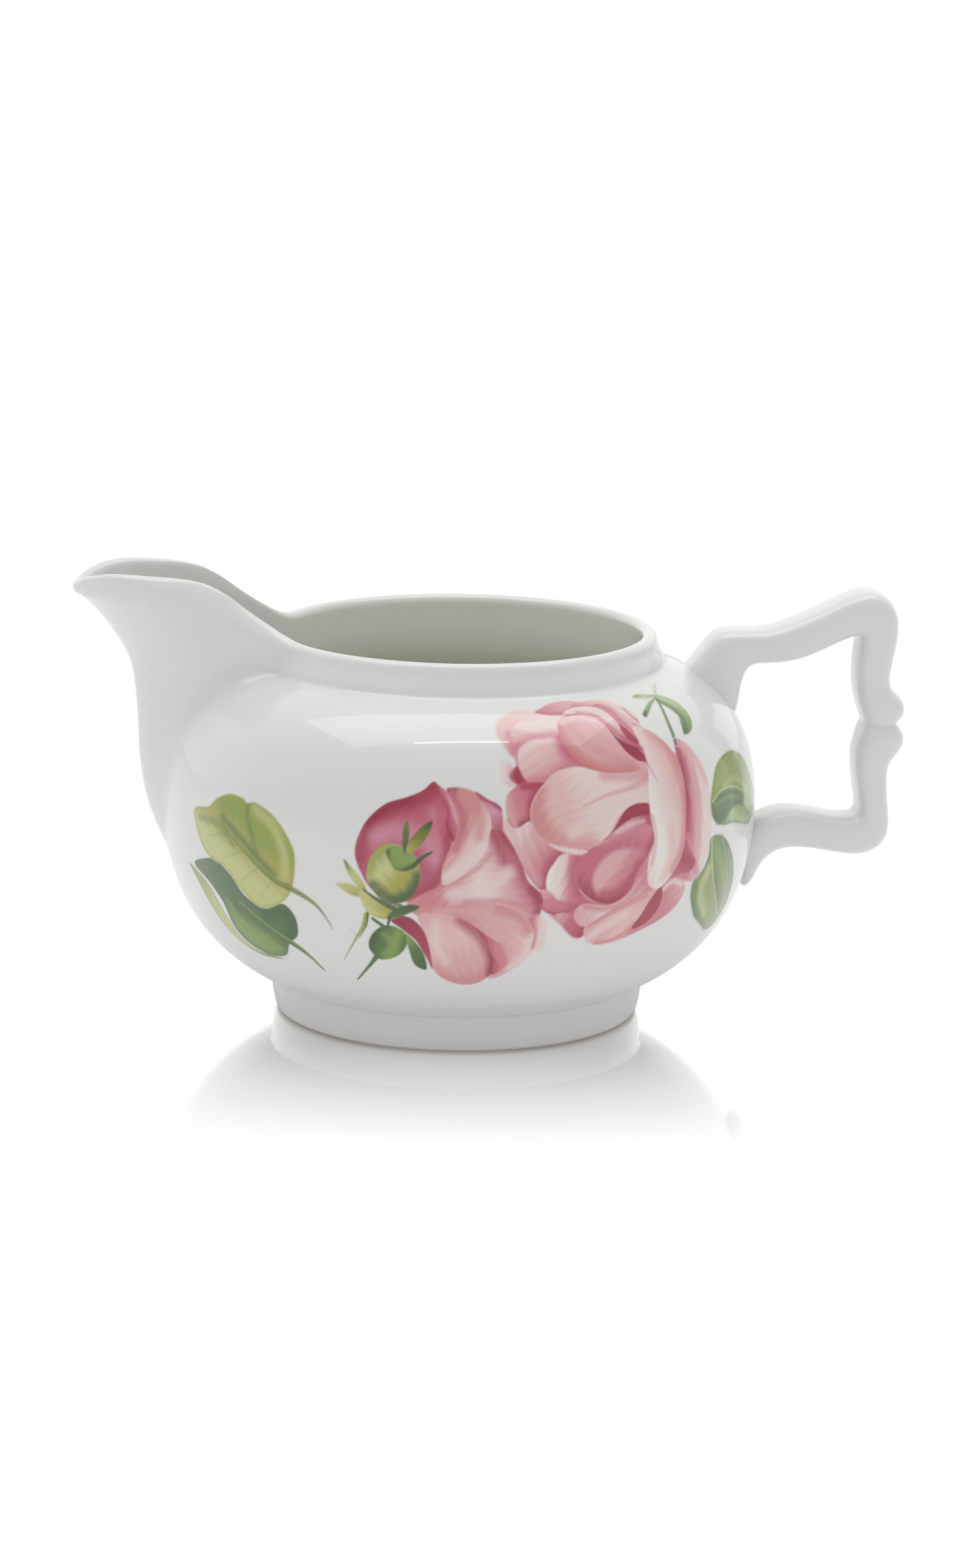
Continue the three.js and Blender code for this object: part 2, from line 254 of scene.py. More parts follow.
class Form:
    """The jug's surfaces, in millimetres from the bowl's axis, with the spout towards -X."""

    def __init__(self, s):
        self.s = s
        self.shoulder_top = s.lip_height - s.collar
        self.lip_round = s.wall / 2
        self.tip_height = s.lip_height + TIP_RISE
        self.root_end = s.lip_height - ROOT_DROP
        rise = self.tip_height - self.root_end
        reach = s.spout_reach - s.belly_radius
        self.nose = through([
            (s.belly_radius - 7, self.root_end - 4.5),
            (s.belly_radius - 1.3, self.root_end - 0.6),
            (s.belly_radius + 0.9, self.root_end + 3),
            (s.belly_radius + 0.19 * reach, self.root_end + 7.8),
            (s.belly_radius + 0.265 * reach, self.root_end + 14),
            (s.belly_radius + 0.29 * reach, self.root_end + 21),
            (s.belly_radius + 0.36 * reach, self.root_end + 0.7 * rise),
            (s.belly_radius + 0.57 * reach, self.root_end + 0.83 * rise),
            (s.belly_radius + 0.82 * reach, self.root_end + 0.93 * rise),
            (s.spout_reach, self.tip_height - self.lip_round),
        ])
        lip, tip = s.lip_height, self.tip_height
        self.edge = through([
            (20, lip), (24, lip + 0.05), (27, lip + 0.35), (30, lip + 1.2), (34, lip + 3), (38, lip + 5),
            (42, lip + 7.1), (46, tip + 1.4), (50, tip + 2.3), (54, tip + 2.35), (57, tip + 1.55),
            (s.spout_reach, tip + 0.6),
        ])

    def lower_belly(self, count):
        """The bowl's outer skin from the foot ring to its widest ring."""
        s = self.s
        low, wide = (s.foot_radius, s.foot_height), (s.belly_radius, s.belly_height)
        return bezier(
            low,
            (mix(low[0], wide[0], 0.6), mix(low[1], wide[1], 0.16)),
            (wide[0], mix(low[1], wide[1], 0.46)),
            wide,
            count,
        )

    def shoulder(self, count):
        """The bowl's outer skin from its widest ring to the crease under the collar."""
        s = self.s
        wide, top = (s.belly_radius, s.belly_height), (s.mouth_radius + 2.6, self.shoulder_top - 0.45)
        return bezier(
            wide,
            (wide[0], mix(wide[1], top[1], 0.54)),
            (mix(top[0], wide[0], 0.62), mix(top[1], wide[1], 0.135)),
            top,
            count,
        )

    def profile(self):
        """Radius, height and depth in the wall of each ring, from under the bowl to its inside floor."""
        s = self.s
        base, top = RECESS, self.shoulder_top
        lip = s.lip_height - self.lip_round
        inner = s.mouth_radius - s.wall
        inner_belly = s.belly_radius - s.wall
        outside = np.vstack([
            bezier((0, base + 0.5), (8, base + 0.5), (16, base + 0.2), (23, base), 10),
            [(24.5, base), (26, base + 1), (s.foot_radius - 0.8, s.foot_height - 0.9)],
            self.lower_belly(34),
            self.shoulder(38),
            bezier((s.mouth_radius + 2.6, top - 0.45), (s.mouth_radius + 1.8, top - 0.1),
                   (s.mouth_radius + 1.3, top), (s.mouth_radius + 1.15, top + 0.7), 6),
            bezier((s.mouth_radius + 1.15, top + 0.7), (s.mouth_radius + 0.9, top + 1.6),
                   (s.mouth_radius + 0.1, lip - 0.9), (s.mouth_radius, lip), 6),
        ])
        turn = np.linspace(0, math.pi, 11)
        lip_ring = np.column_stack([
            s.mouth_radius - self.lip_round * (1 - np.cos(turn)),
            lip + self.lip_round * np.sin(turn),
        ])
        inside = np.vstack([
            bezier((inner, lip - 0.5), (inner, lip - 1.5), (inner, top), (inner, top - 0.2), 4),
            bezier((inner, top - 0.2), (inner, top - 3.6),
                   (inner + 1.2, top - 5.2), (inner + 4.6, top - 7), 9),
            bezier((inner + 4.6, top - 7), (mix(inner, inner_belly, 0.72), top - 9.2),
                   (inner_belly, mix(s.belly_height, top, 0.47)), (inner_belly, s.belly_height), 22),
            bezier((inner_belly, s.belly_height), (inner_belly, mix(FLOOR, s.belly_height, 0.41)),
                   (0.85 * s.belly_radius, FLOOR + 0.3), (0, FLOOR), 30),
            [(0, FLOOR)],
        ])
        depth = np.concatenate([
            np.zeros(len(outside)), s.mouth_radius - lip_ring[:, 0], np.full(len(inside), s.wall)
        ])
        return np.vstack([outside, lip_ring, inside]), depth

    def wall(self, up):
        """Radius and height of the turned wall at distances up it from the widest ring."""
        low, high = self.lower_belly(300), self.shoulder(300)
        rings = np.vstack([low, high])
        run = np.concatenate([[0], np.cumsum(np.hypot(*np.diff(rings, axis=0).T))])
        run -= run[len(low)]
        return np.interp(up, run, rings[:, 0]), np.interp(up, run, rings[:, 1])

    def channel(self, angle, height, inset):
        """Distance from the axis to the spout's wall at an angle from its line."""
        s = self.s
        away = np.minimum(np.abs(angle), 1.5)
        end = np.interp(height, self.nose[:, 1], self.nose[:, 0]) - inset
        nose = NOSE - inset
        low, high = np.zeros_like(end), end.copy()
        for _ in range(40):
            along = (low + high) / 2
            flare = s.spout_flare * np.minimum(2, np.exp((23 - along) / 9.5))
            past = np.clip((along - end + nose) / nose, 0, 1)
            half = (s.spout_width + flare - inset) * (1 - past**2) ** 0.74
            within = along * np.tan(away) < half
            low, high = np.where(within, along, low), np.where(within, high, along)
        return low / np.cos(away)

    def lift(self, along):
        """How far the pouring edge stands above the lip, at a distance along the spout."""
        return np.interp(along, self.edge[:, 0], self.edge[:, 1]) - self.s.lip_height

    def pulled(self, radius, height, angle, depth):
        """Radius and height of the turned wall after the spout is pulled out of it."""
        s = self.s
        start, end = self.root_end + 4, s.lip_height - self.lip_round
        tall, skin = np.full_like(height, self.tip_height), np.zeros_like(height)
        along = self.channel(angle, tall, skin) * np.cos(angle)
        rise = np.clip((np.minimum(height, end) - start) / (end - start), 0, None)
        height = height + np.maximum(0, self.lift(along)) * rise**2.5
        fillet = mix(1.3, 4.5, np.clip(rise * 1.5, 0, 1))
        reach = self.channel(angle, height, depth)
        near = np.clip(fillet - np.abs(radius - reach), 0, None) / fillet
        joined = np.maximum(radius, reach) + near**3 * fillet / 6
        return np.where(height > self.root_end - 5, joined, radius), height

    def spaced_angles(self, count):
        """Angles from the spout's line that space the vertices evenly along the mouth's outline."""
        angle = np.linspace(0, math.pi, 4000)
        tall = np.full_like(angle, self.tip_height)
        reach = np.maximum(self.channel(angle, tall, np.zeros_like(angle)), self.s.mouth_radius)
        x, y = reach * np.cos(angle), reach * np.sin(angle)
        run = np.concatenate([[0], np.cumsum(np.hypot(np.diff(x), np.diff(y)))])
        half = np.interp(np.linspace(0, run[-1], count // 2 + 1), run, angle)
        return np.concatenate([half, -half[-2:0:-1]])


def build_body(s, painted_inside_shade):
    """Spins the bowl's whole section and pulls the spout out of it."""
    form = Form(s)
    rings, depth = form.profile()
    section = np.column_stack([rings[:, 0] + AXIS_X, np.zeros(len(rings)), rings[:, 1]])
    obj = new_object("glazed_body", section, [(i, i + 1) for i in range(len(rings) - 1)])
    spin(obj, s.segments)
    points = points_of(obj)
    x, y = points[:, 0] - AXIS_X, points[:, 1]
    radius = np.hypot(x, y)
    gaps = (radius[:, None] - rings[None, :, 0]) ** 2 + (points[:, 2][:, None] - rings[None, :, 1]) ** 2
    nearest = np.argmin(gaps, axis=1)
    turn = np.round(np.arctan2(y, -x) / math.tau * s.segments).astype(int) % s.segments
    angle = form.spaced_angles(s.segments)[turn]
    reach, height = form.pulled(rings[nearest, 0], rings[nearest, 1], angle, depth[nearest])
    reach = np.where(radius < 0.01, 0, reach)
    set_points(obj, np.column_stack([AXIS_X - reach * np.cos(angle), reach * np.sin(angle), height]))
    # Painted warm shade on the inside walls of the bowl and spout, fading out towards the lip
    deep = np.clip((s.lip_height + 4 - height) / 10, 0, 1)
    tint(obj, np.tile(painted_inside_shade, (len(points), 1)), depth[nearest] / s.wall * deep)
    return obj


def tint(obj, tone, share):
    """Stores a colour and how much it covers the porcelain, for each vertex."""
    attribute = obj.data.color_attributes.new("enamel", "FLOAT_COLOR", "POINT")
    attribute.data.foreach_set("color", np.column_stack([tone, share]).astype(np.float32).ravel())


def build_foot(s, bisque):
    """The low foot ring: a rounded section with a flat bare edge to stand on."""
    top, out = s.foot_height, s.foot_radius + FOOT_LEDGE
    inner = out - 4.0
    section = np.vstack([
        bezier((inner + 0.8, 0), (inner + 0.3, 0), (inner, 0.4), (inner - 0.1, 1.0), 5),
        bezier((inner - 0.1, 1.0), (inner - 0.4, 1.8), (inner - 0.9, 2.6), (inner - 2.0, 3.1), 6),
        [(inner - 1.5, 4.0), (out - 2, top + 0.2), (out + 0.05, top + 0.35)],
        bezier((out + 0.15, top + 0.1), (out - 0.1, top - 0.35),
               (out - 0.15, top - 0.8), (out - 0.1, top - 1.3), 6),
        bezier((out - 0.1, top - 1.3), (out - 0.1, 3), (out - 0.35, 1.9), (out - 0.55, 1.1), 7),
        bezier((out - 0.55, 1.1), (out - 0.65, 0.5), (out - 0.95, 0.08), (out - 1.5, 0), 6),
        [(out - 1.5, 0)],
    ])
    closed = [(i, (i + 1) % len(section)) for i in range(len(section))]
    points = np.column_stack([section[:, 0] + AXIS_X, np.zeros(len(section)), section[:, 1]])
    obj = new_object("foot_ring_glazed", points, closed)
    spin(obj, 180)
    height = points_of(obj)[:, 2]
    tint(obj, np.tile(bisque, (len(height), 1)), np.clip(1.6 - height / BARE_EDGE, 0, 1))
    return obj


# Handle stations from the upper root to the tail: outer edge x, z, inner edge x, z, and width's share.
HANDLE_STATIONS = [
    (32.2, 48.6, 40.2, 41.0, 1.2), (34.0, 52.4, 42.3, 45.2, 1.12), (36.0, 55.0, 42.8, 48.8, 1.0),
    (37.7, 57.3, 43.2, 51.5, 0.97), (39.2, 58.7, 44.4, 53.0, 0.95), (42.6, 58.6, 46.6, 53.1, 0.95),
    (46.6, 58.6, 49.6, 53.1, 0.95), (50.7, 60.0, 52.8, 53.9, 0.96), (54.7, 61.7, 56.0, 55.4, 0.98),
    (58.3, 63.5, 58.6, 56.7, 1.0), (61.4, 64.8, 60.0, 57.2, 1.0), (64.6, 64.2, 60.5, 56.9, 1.0),
    (66.7, 61.8, 60.5, 56.2, 1.0), (67.2, 58.7, 60.3, 54.9, 1.0), (66.7, 55.3, 60.1, 53.2, 0.98),
    (66.0, 52.0, 60.1, 51.0, 0.96), (65.9, 50.2, 60.2, 49.5, 0.96), (66.3, 49.0, 60.4, 48.3, 0.97),
    (67.8, 48.0, 60.6, 47.0, 1.0), (68.5, 46.4, 61.0, 45.8, 1.02), (68.3, 44.8, 61.4, 44.7, 0.98),
    (66.9, 43.8, 61.7, 43.9, 0.84), (68.0, 43.0, 61.4, 43.2, 0.96), (68.7, 41.4, 60.9, 42.0, 1.01),
    (68.0, 39.5, 60.6, 40.7, 1.0), (66.6, 38.2, 60.3, 39.3, 0.98), (66.0, 36.6, 60.3, 37.6, 0.97),
    (66.0, 33.8, 60.6, 34.8, 0.97), (66.3, 30.8, 61.1, 32.0, 0.98), (66.6, 28.0, 61.3, 30.4, 1.0),
    (66.1, 25.4, 60.9, 29.5, 1.0), (64.5, 23.8, 59.6, 29.6, 1.0), (62.0, 22.9, 58.4, 29.6, 1.0),
    (58.9, 23.2, 56.6, 29.9, 0.98), (55.5, 23.9, 54.3, 30.5, 0.96), (52.4, 24.3, 52.0, 30.8, 0.96),
    (49.5, 24.2, 49.6, 30.9, 0.98), (47.3, 23.0, 47.4, 30.3, 1.02), (45.9, 21.2, 45.5, 29.2, 1.08),
    (45.0, 18.6, 43.8, 27.8, 1.1), (43.2, 17.4, 41.6, 26.4, 1.05),
]
HANDLE_TRIM = 0.2  # taken off each edge before the section is smoothed, mm
SECTION_SIDES, SECTION_SQUARENESS = 20, 3.4  # 2 would be a round section


def build_handle(s):
    """Extrudes a rounded section from station to station along the two scrolls."""
    turn = (np.arange(SECTION_SIDES) + 0.5) / SECTION_SIDES * math.tau
    across = np.sign(np.cos(turn)) * np.abs(np.cos(turn)) ** (2 / SECTION_SQUARENESS)
    aside = np.sign(np.sin(turn)) * np.abs(np.sin(turn)) ** (2 / SECTION_SQUARENESS)
    rings = []
    for out_x, out_z, in_x, in_z, share in HANDLE_STATIONS:
        outer, inner = np.array([out_x, 0, out_z]), np.array([in_x, 0, in_z])
        middle, half = (outer + inner) / 2, (outer - inner) / 2
        half *= 1 - HANDLE_TRIM / np.linalg.norm(half)
        sideways = np.array([0, share * s.handle_width / 2, 0])
        ring = middle + across[:, None] * half + aside[:, None] * sideways
        rings.append(ring + [AXIS_X, 0, 0])
    obj = new_object("scrolled_handle", rings[0], faces=[tuple(range(SECTION_SIDES))])
    bpy.ops.object.mode_set(mode="EDIT")
    for before, after in zip(rings, rings[1:]):
        step = Vector(((after.mean(0) - before.mean(0)) * MM).tolist())
        bpy.ops.mesh.extrude_region_move(TRANSFORM_OT_translate={"value": step})
        built = bmesh.from_edit_mesh(obj.data)
        moved = [v for v in built.verts if v.select]
        current = np.array([v.co / MM for v in moved])
        order = np.argmin(((current[:, None] - (before + step / MM)[None]) ** 2).sum(2), axis=1)
        for vertex, index in zip(moved, order):
            vertex.co = after[index] * MM
        bmesh.update_edit_mesh(obj.data)
    bpy.ops.mesh.select_all(action="SELECT")
    bpy.ops.mesh.normals_make_consistent(inside=False)
    bpy.ops.object.mode_set(mode="OBJECT")
    smooth = obj.modifiers.new("soft_arris", "SUBSURF")
    smooth.levels = smooth.render_levels = 2
    bpy.ops.object.modifier_apply(modifier=smooth.name)
    return obj


# ---- Enamel painting ----------------------------------------------------------------------------------
# Outlines are in millimetres over the belly: first round it from the front towards the handle, then up
# the wall from the widest ring.


def closed_curve(points, steps=8):
    """A smooth closed curve through points."""
    p = np.array(points, float)
    return spline(np.vstack([p[-1], p, p[:2]]), steps)


def smooth(t):
    """Eases from 0 to 1."""
    t = np.clip(t, 0, 1)
    return t * t * (3 - 2 * t)


class Brush:
    """Lays enamel on a grid of points, one stroke over another."""

    def __init__(self, points, palette):
        self.points, self.palette = points, palette
        self.colour = np.zeros((len(points), 3))
        self.cover = np.zeros(len(points))
        self.inside = np.zeros(len(points))
        self.rim = np.full(len(points), 9.0)

    def near(self, curve, margin):
        """Which points lie in the box of a curve."""
        low, high = curve.min(0) - margin, curve.max(0) + margin
        return np.flatnonzero(((self.points > low) & (self.points < high)).all(1))

    def distance(self, chosen, start, end):
        """From each chosen point to the nearest line from start to end, and its share along the row."""
        p = self.points[chosen][:, None]
        run = end - start
        along = np.clip(((p - start) * run).sum(2) / np.maximum((run**2).sum(1), 1e-9), 0, 1)
        gap = np.hypot(*np.moveaxis(p - start - along[..., None] * run, 2, 0))
        line = gap.argmin(1)
        row = np.arange(len(chosen))
        return gap[row, line], (line + along[row, line]) / len(start)

    def lay(self, chosen, tone, amount):
        """Mixes a tone over what is there."""
        amount = amount[:, None]
        before = self.cover[chosen][:, None]
        under = before * (1 - amount)
        after = amount + under
        self.colour[chosen] = (tone * amount + self.colour[chosen] * under) / np.maximum(after, 1e-6)
        self.cover[chosen] = after[:, 0]

    def streaks(self, p, grain):
        """The fine marks of a soft brush drawn along an angle."""
        c, s = math.cos(math.radians(grain)), math.sin(math.radians(grain))
        along, across = p[:, 0] * c + p[:, 1] * s, p[:, 1] * c - p[:, 0] * s
        drift = 0.5 * np.sin(along * 0.45) + 0.3 * np.sin(along * 0.9 + across * 0.4)
        return (
            np.sin((across + drift) * 4.3 + 1.7 * np.sin(along * 0.31))
            + 0.7 * np.sin((across + drift) * 9.1 + 2.1 * np.sin(along * 0.53 + 1))
            + 0.5 * np.sin((across - drift) * 17.0 + 2.6 * np.sin(along * 0.83 + 2))
        ) / 2.2

    def petal(self, outline, tones, toward=0, grain=None, edge=0.35, rough=0.055):
        """A closed shape whose named tones run from its far side to the side it turns toward."""
        curve = closed_curve(outline)
        chosen = self.near(curve, 1.5 + edge)
        p = self.points[chosen]
        start, end = curve, np.roll(curve, -1, 0)
        gap, _ = self.distance(chosen, start, end)
        y = p[:, 1][:, None]
        crosses = (start[:, 1] > y) != (end[:, 1] > y)
        run, rise = (end - start).T
        at = start[:, 0] + (y - start[:, 1]) / np.where(crosses, rise, 1) * run
        within = (crosses & (p[:, 0][:, None] < at)).sum(1) % 2 == 1
        signed = np.where(within, gap, -gap)
        marks = self.streaks(p, toward + 90 if grain is None else grain)
        c, s = math.cos(math.radians(toward)), math.sin(math.radians(toward))
        rows = curve @ [c, s]
        share = (p @ [c, s] - rows.min()) / (rows.max() - rows.min())
        stops = np.array([self.palette[name] for name in tones.split()])
        share = np.clip(share + rough * marks, 0, 1) * (len(stops) - 1)
        left = np.minimum(share.astype(int), len(stops) - 2)
        tone = mix(stops[left], stops[left + 1], smooth(share - left)[:, None])
        tone = tone * (1 + 0.6 * rough * marks[:, None])
        self.lay(chosen, tone, smooth(signed / edge + 0.5))
        self.inside[:] = 0
        self.inside[chosen] = smooth(signed / edge + 0.5)
        self.rim[:] = 9
        self.rim[chosen] = np.maximum(signed, 0)

    def shade(self, line, width, tone, strength=0.7, taper=False):
        """A soft pass of another tone along a line, kept inside the last petal."""
        curve = through(line, 6)
        chosen = self.near(curve, width)
        gap, share = self.distance(chosen, curve[:-1], curve[1:])
        reach = width * (1 - 0.75 * share if taper else 1)
        marks = self.streaks(self.points[chosen], math.degrees(math.atan2(*(curve[-1] - curve[0])[::-1])))
        amount = smooth(1 - gap / reach) * strength * (1 + 0.1 * marks) * self.inside[chosen]
        self.lay(chosen, self.palette[tone], np.clip(amount, 0, 1))

    def veins(self, ends, sway, width, tone, strength):
        """Thin tapering lines from each base to its tip, bent sideways by a little."""
        for base, tip in ends:
            bend = mix(np.array(base), np.array(tip), 0.6) + [sway, 0]
            self.shade([base, bend, tip], width, tone, strength, taper=True)

    def border(self, width, tone, strength=0.7, toward=None):
        """A soft band just inside the last petal's outline, all round or on one side of it."""
        chosen = np.flatnonzero(self.inside > 0)
        if not len(chosen):
            return
        amount = smooth(1 - self.rim[chosen] / width) * strength
        if toward is not None:
            p = self.points[chosen]
            c, s = math.cos(math.radians(toward)), math.sin(math.radians(toward))
            rows = p @ [c, s]
            amount = amount * smooth((rows - rows.min()) / np.ptp(rows) * 2.2 - 0.9)
        marks = self.streaks(self.points[chosen], 40)
        amount = np.clip(amount * (1 + 0.06 * marks), 0, 1) * self.inside[chosen]
        self.lay(chosen, self.palette[tone], amount)

    def stroke(self, line, start_width, end_width, tone, strength=1.0, edge=0.15):
        """A free brush line that swells or thins from one end to the other."""
        curve = through(line, 6)
        chosen = self.near(curve, max(start_width, end_width) + edge)
        gap, share = self.distance(chosen, curve[:-1], curve[1:])
        half = mix(start_width, end_width, share) / 2
        self.lay(chosen, self.palette[tone], smooth((half - gap) / edge + 0.5) * strength)


def paint_rose(b):
    """The full-blown rose."""
    # a wash under the whole flower
    b.petal([(2, 19), (6, 22.4), (12, 23.6), (16, 25.2), (21, 25), (26, 23.6), (28.2, 20.6), (28.6, 18.2),
            (31, 16), (32.6, 13.4), (34.4, 14.6), (37, 12), (38.2, 8), (38, 1), (36.8, -3.4),
            (34.4, -5.6), (31, -6), (30.6, -9), (27, -11.2), (22, -13), (17, -13.4), (14.4, -11),
            (11, -10), (8, -7.4), (6.8, -4), (3, 0.4), (1.6, 4.6), (2.2, 8), (3.2, 11), (3.6, 15)],
            "pink rose pink pink", 0, edge=0.9)
    # outer petals at the upper left
    b.petal([(1, 20), (1.8, 22.2), (4.5, 24), (9, 24.4), (13, 23.6), (14.5, 22.4), (10, 21), (5, 20),
            (4, 16.6), (3.2, 15.6), (1.8, 17.6)], "cream peach blush", 250, edge=1.1)
    b.shade([(3.2, 19.4), (3.4, 17.8), (3.5, 16.2)], 1.4, "rose", 0.55)
    b.petal([(3.5, 19.6), (5, 21.4), (8, 22), (13.6, 22.2), (12.6, 20.6), (11.4, 18.8), (8, 18.4),
            (5, 17.6), (4, 16.4), (3.5, 18)], "pink blush cream cream", 80, edge=0.5)
    b.shade([(4.2, 17), (6, 18.4), (9, 18.9), (11.5, 19.2)], 1.3, "pink", 0.7)
    b.petal([(9.2, 23.6), (11, 24.8), (13.6, 25.8), (16.6, 26.1), (19.4, 25.2), (17, 24.4), (14.6, 22.8),
            (12, 22.8)], "pink blush", 60, edge=0.7)
    b.shade([(9.4, 23.6), (11.5, 23.2), (14.4, 22.8)], 0.9, "rose", 0.8)
    b.petal([(17.5, 24.6), (20, 25.2), (23, 25.4), (26.2, 24.8), (28.2, 23.2), (29.2, 21), (28.4, 18.8),
            (27, 20), (26.4, 22.2), (24, 24)], "pink blush peach cream", 40, edge=0.6)
    b.shade([(27.8, 22.6), (28.1, 21), (28.8, 19.4)], 0.45, "rose", 0.7)
    b.petal([(22.4, 24.4), (25, 24), (27, 22.6), (27.5, 21), (27, 18.6), (26.6, 17), (25.6, 18.8),
            (25.2, 21), (24, 23.2)], "pink blush cream", 20, edge=0.35)
    b.shade([(22.6, 24.2), (24.5, 22.8), (25, 20.6), (25.9, 17.8)], 0.8, "rose", 0.9)
    # the long petal over the heart
    b.petal([(14.4, 22.8), (16.6, 24), (19.4, 24.2), (22, 23.6), (23.6, 22), (24.2, 19.6), (25.2, 17.6),
            (26.2, 16.2), (26, 15.2), (24, 16), (22.6, 17.8), (21.6, 20), (20.2, 21.6), (17.6, 22.6)],
            "pink blush cream cream", 70, edge=0.3)
    b.shade([(17.5, 22.6), (20.6, 21.6), (22, 19.4), (23, 17.4), (25, 15.8)], 1.2, "rose", 0.75)
    b.petal([(24.3, 19.6), (25.1, 18.8), (25.8, 17.4), (26.3, 16.2), (25.4, 15.9), (24.4, 16.8),
            (24, 18.2)], "raspberry crimson", 320, edge=0.35)
    b.petal([(23.4, 18), (24.6, 16.6), (25.8, 16), (26.2, 14.9), (25, 15.1), (23.4, 16.2)], "mauve rose",
            200, edge=0.4)
    b.petal([(21.6, 19), (22.4, 17.4), (23.8, 16.2), (25.4, 15.3), (26.1, 14.2), (26.4, 13), (25.2, 13.1),
            (23.6, 13.9), (22.4, 15.3), (21.8, 17)], "crimson wine crimson", 300, edge=0.25)
    # the rolled petal
    b.petal([(12.4, 20.9), (13.8, 22.1), (17.6, 22.4), (20, 21.7), (21.2, 20), (22, 17.4), (22.9, 15.1),
            (24.6, 13.4), (26.3, 12.8), (26, 11.7), (22.6, 11.8), (18.4, 12), (15.4, 13), (13, 15.2),
            (12, 18)], "salmon blush blush peach", 45, grain=-52)
    b.shade([(12.3, 19.6), (12.6, 16.6), (14.6, 13.8), (18, 12.3), (23, 12)], 2.4, "salmon_deep", 0.85)
    b.shade([(14.5, 20.5), (16, 17.6), (19, 15), (23, 13.2)], 1.8, "salmon", 0.5)
    b.shade([(13.4, 21.3), (16.5, 21.9), (19.8, 21)], 1.1, "cream", 0.6)
    b.border(0.3, "rose", 0.6, 235)
    # the round petal at the left
    b.petal([(3.8, 15), (4.5, 17), (6.6, 18.2), (9.4, 18.5), (11.2, 18.4), (11.8, 15.8), (14, 13.5),
            (11, 13.2), (8.8, 12.2), (7.6, 11.3), (5.6, 11.6), (4.2, 12.8)], "pink blush peach cream",
            118)
    b.shade([(11.6, 17.6), (12, 15.6), (13.6, 13.8)], 2, "rose", 0.75)
    b.shade([(14, 13.6), (11, 13.4), (8.6, 12.2), (6, 11.6)], 1.5, "pink", 0.8)
    b.border(0.35, "rose", 0.6)
    # shadows and folded petals below it
    b.petal([(3.9, 14), (4.5, 12.5), (5, 11.4), (3.8, 11.3), (2.6, 11.9), (2.2, 13), (3.2, 13.8)],
            "raspberry crimson rose", 200, edge=0.5)
    b.petal([(0.6, 15), (2.4, 14.6), (3, 13.6), (2.3, 12.6), (2.8, 11.2), (1.2, 11.4), (0.6, 13)],
            "porcelain cream blush", 0, edge=1.2)
    b.petal([(4.2, 11.4), (6, 11.6), (8.1, 11.3), (7.4, 10.2), (6, 9), (5.6, 6.2), (4.4, 5.2), (3.2, 5.1),
            (2, 6.6), (1.6, 8.4), (2.2, 10.2)], "blush pink rose raspberry", 15, edge=0.4)
    b.shade([(4.4, 11), (6.4, 11), (8, 11.2)], 1, "raspberry", 0.85)
    b.shade([(6.6, 10), (5.6, 8.4), (5.3, 6.4), (4, 5.6)], 1.3, "crimson", 0.8)
    b.petal([(0.6, 6), (1.6, 6.4), (2.4, 5.4), (3.4, 5.1), (5.2, 6), (6.2, 4.6), (8, 2.6), (10.2, 1),
            (8.6, -0.4), (7.7, -2.4), (7.8, -4.2), (6.2, -3.6), (4, -0.4), (2.2, 2.6)],
            "rose pink blush cream cream", 145, grain=-60, edge=0.35)
    b.shade([(9.8, 0.8), (8.4, -0.6), (7.8, -2.6), (7.6, -4.2)], 2, "raspberry", 0.8)
    b.shade([(2, 5.6), (3, 3), (5, -0.4), (6.6, -3)], 1.2, "blush", 0.5)
    # the great heart petal
    b.petal([(13.6, 13.5), (16, 12.8), (18.6, 12.1), (22.4, 11.8), (26, 11.6), (25.7, 9.4), (25, 6.9),
            (22, 7), (19.6, 5.8), (17.6, 3.2), (15.2, 1.8), (12.4, 1.4), (8.8, 2.3), (6.4, 4.1),
            (5.3, 6.6), (5.8, 9), (7.6, 11.2), (10, 13)], "salmon peach cream cream peach", 20, grain=25)
    b.shade([(7, 10.4), (6.2, 7.6), (7.4, 4.4), (10.6, 2.4), (14.6, 2)], 2.4, "salmon", 0.75)
    b.shade([(10, 12), (8.8, 8.8), (9.6, 6), (13, 4.6)], 1.9, "peach", 0.6)
    b.shade([(26, 11.4), (22, 11.2), (17.6, 11.8)], 1.3, "pink", 0.55)
    b.shade([(25.6, 10.6), (22, 9.6), (18, 9), (13.6, 7.8)], 1, "pink", 0.5, taper=True)
    b.shade([(24.6, 8), (20, 7.6), (15, 6), (11.6, 3.9)], 1.6, "cream", 0.7)
    b.border(0.3, "cream", 0.7, 170)
    b.border(0.35, "pink", 0.75, 265)
